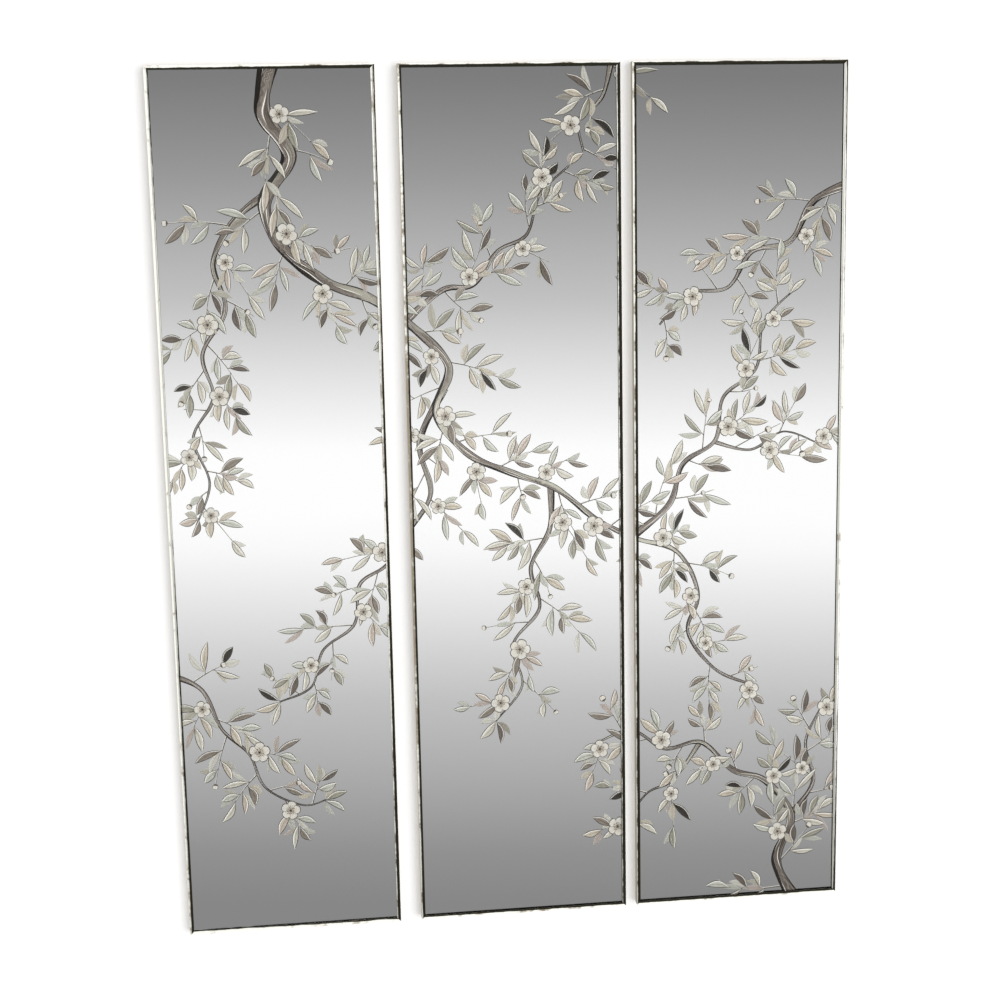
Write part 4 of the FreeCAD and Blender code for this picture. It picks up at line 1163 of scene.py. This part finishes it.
# Mastic pads, setting blocks and bumpers
# Grey mirror mastic, pressed flat between the silver and the board, two strips of black rubber that the
# glass stands on, and black rubber bumpers on the back. All are soft and matt, with a fine uneven skin.
MASTIC_GREYS = ((0.20, 0.20, 0.19, 1), (0.36, 0.36, 0.345, 1))
MASTIC_ROUGHNESS = 0.85
MASTIC_LUMPS_PER_METRE = 220
MASTIC_LUMP_DEPTH = 0.0003
RUBBER_BLACK = (0.028, 0.028, 0.027, 1)
RUBBER_DUST = (0.085, 0.083, 0.078, 1)
RUBBER_ROUGHNESS = 0.72
DUST_PER_METRE = 160
DUST_EDGE = (0.45, 0.75)
RUBBER_LUMPS_PER_METRE = 1400
RUBBER_LUMP_DEPTH = 0.00008

mastic, tree, shader = finish("mastic", roughness=MASTIC_ROUGHNESS)
skin = noise(tree, place_on(tree), MASTIC_LUMPS_PER_METRE, detail=4.0, roughness=0.6)
tree.links.new(mixed(tree, skin, *MASTIC_GREYS), shader.inputs["Base Color"])
relief(tree, shader, skin, MASTIC_LUMP_DEPTH)
wear([side + "_mastic_pads" for side in SIDES], mastic)

rubber, tree, shader = finish("rubber", roughness=RUBBER_ROUGHNESS)
spot = place_on(tree)
dust = eased(tree, noise(tree, spot, DUST_PER_METRE, detail=5.0, roughness=0.65), *DUST_EDGE)
tree.links.new(mixed(tree, dust, RUBBER_BLACK, RUBBER_DUST), shader.inputs["Base Color"])
relief(tree, shader, noise(tree, spot, RUBBER_LUMPS_PER_METRE), RUBBER_LUMP_DEPTH)
wear([side + name for side in SIDES for name in ("_setting_blocks", "_bumpers")], rubber)


# Backboard
# A 12 mm plywood board behind each mirror, sanded and left bare: long rotary-cut grain on its faces,
# with a few darker bands, and the thin dark and light plies on its edges.
PLY_THICKNESS = 0.0024
WOOD_LIGHT = (0.64, 0.47, 0.29, 1)
WOOD_DARK = (0.36, 0.22, 0.115, 1)
WOOD_BAND = (0.50, 0.34, 0.19, 1)
WOOD_ROUGHNESS = 0.68
FLOW_STRETCH = (5, 5, 0.7)
FLOW_DRIFT = 0.25
GRAIN_STRETCH = (1, 1, 0.05)
GRAIN_PER_METRE = 55
GRAIN_EDGE = (0.36, 0.66)
GRAIN_DEPTH = 0.00012
PORE_STRETCH = (1, 1, 0.03)
PORES_PER_METRE = 1500
PORE_EDGE = (0.60, 0.74)
PORE_SHARE = 0.55

plywood, tree, shader = finish("plywood", roughness=WOOD_ROUGHNESS)
flow = noise(tree, place_on(tree, FLOW_STRETCH), 1.0, detail=3.0)
drift = node(tree, "CombineXYZ", {0: maths(tree, "MULTIPLY", flow, FLOW_DRIFT)}).outputs[0]
drawn = node(tree, "VectorMath", {0: place_on(tree, GRAIN_STRETCH), 1: drift}, operation="ADD").outputs[0]
grain = noise(tree, drawn, GRAIN_PER_METRE, detail=5.0, roughness=0.6)
pores = eased(tree, noise(tree, place_on(tree, PORE_STRETCH), PORES_PER_METRE), *PORE_EDGE)
face = mixed(tree, eased(tree, grain, *GRAIN_EDGE), WOOD_LIGHT, WOOD_BAND)
face = mixed(tree, maths(tree, "MULTIPLY", pores, PORE_SHARE), face, WOOD_DARK)
layer = maths(tree, "PINGPONG", node(tree, "SeparateXYZ", {0: place_on(tree)}).outputs["Y"], PLY_THICKNESS)
plies = mixed(tree, maths(tree, "GREATER_THAN", layer, PLY_THICKNESS / 2), WOOD_LIGHT, WOOD_DARK)
facing = node(tree, "SeparateXYZ", {0: node(tree, "TexCoord").outputs["Normal"]}).outputs["Y"]
on_face = maths(tree, "GREATER_THAN", maths(tree, "ABSOLUTE", facing), 0.5)
tree.links.new(mixed(tree, on_face, plies, face), shader.inputs["Base Color"])
relief(tree, shader, maths(tree, "SUBTRACT", grain, pores), GRAIN_DEPTH)
wear([side + "_backboard" for side in SIDES], plywood)


# Hanging bars and their screws
# Folded aluminium bars as rolled at the mill, with fine lines along their length, one screwed to each
# board and one to the wall, and zinc-plated screws with a bluish grey bloom.
MILL_GREYS = ((0.62, 0.62, 0.63, 1), (0.78, 0.78, 0.79, 1))
MILL_STRETCH = (0.02, 1, 1)
MILL_LINES_PER_METRE = 1800
MILL_LINE_DEPTH = 0.00003
MILL_ROUGHNESS = (0.28, 0.52)
SMUDGES_PER_METRE = 30
ZINC_GREYS = ((0.52, 0.53, 0.55, 1), (0.68, 0.68, 0.66, 1))
ZINC_CLOUDS_PER_METRE = 600
ZINC_ROUGHNESS = (0.25, 0.5)

mill_metal, tree, shader = finish("mill_aluminium", metallic=1.0)
rolled = noise(tree, place_on(tree, MILL_STRETCH), MILL_LINES_PER_METRE, detail=3.0)
smudge = noise(tree, place_on(tree), SMUDGES_PER_METRE, detail=3.0)
tree.links.new(mixed(tree, rolled, *MILL_GREYS), shader.inputs["Base Color"])
tree.links.new(scaled(tree, smudge, *MILL_ROUGHNESS), shader.inputs["Roughness"])
relief(tree, shader, rolled, MILL_LINE_DEPTH)
wear([side + name for side in SIDES for name in ("_hook_bar", "_wall_bar")], mill_metal)

zinc, tree, shader = finish("zinc_plate", metallic=1.0)
haze = noise(tree, place_on(tree), ZINC_CLOUDS_PER_METRE, detail=4.0, roughness=0.6)
tree.links.new(mixed(tree, haze, *ZINC_GREYS), shader.inputs["Base Color"])
tree.links.new(scaled(tree, haze, *ZINC_ROUGHNESS), shader.inputs["Roughness"])
wear([side + "_hook_bar_screws" for side in SIDES], zinc)
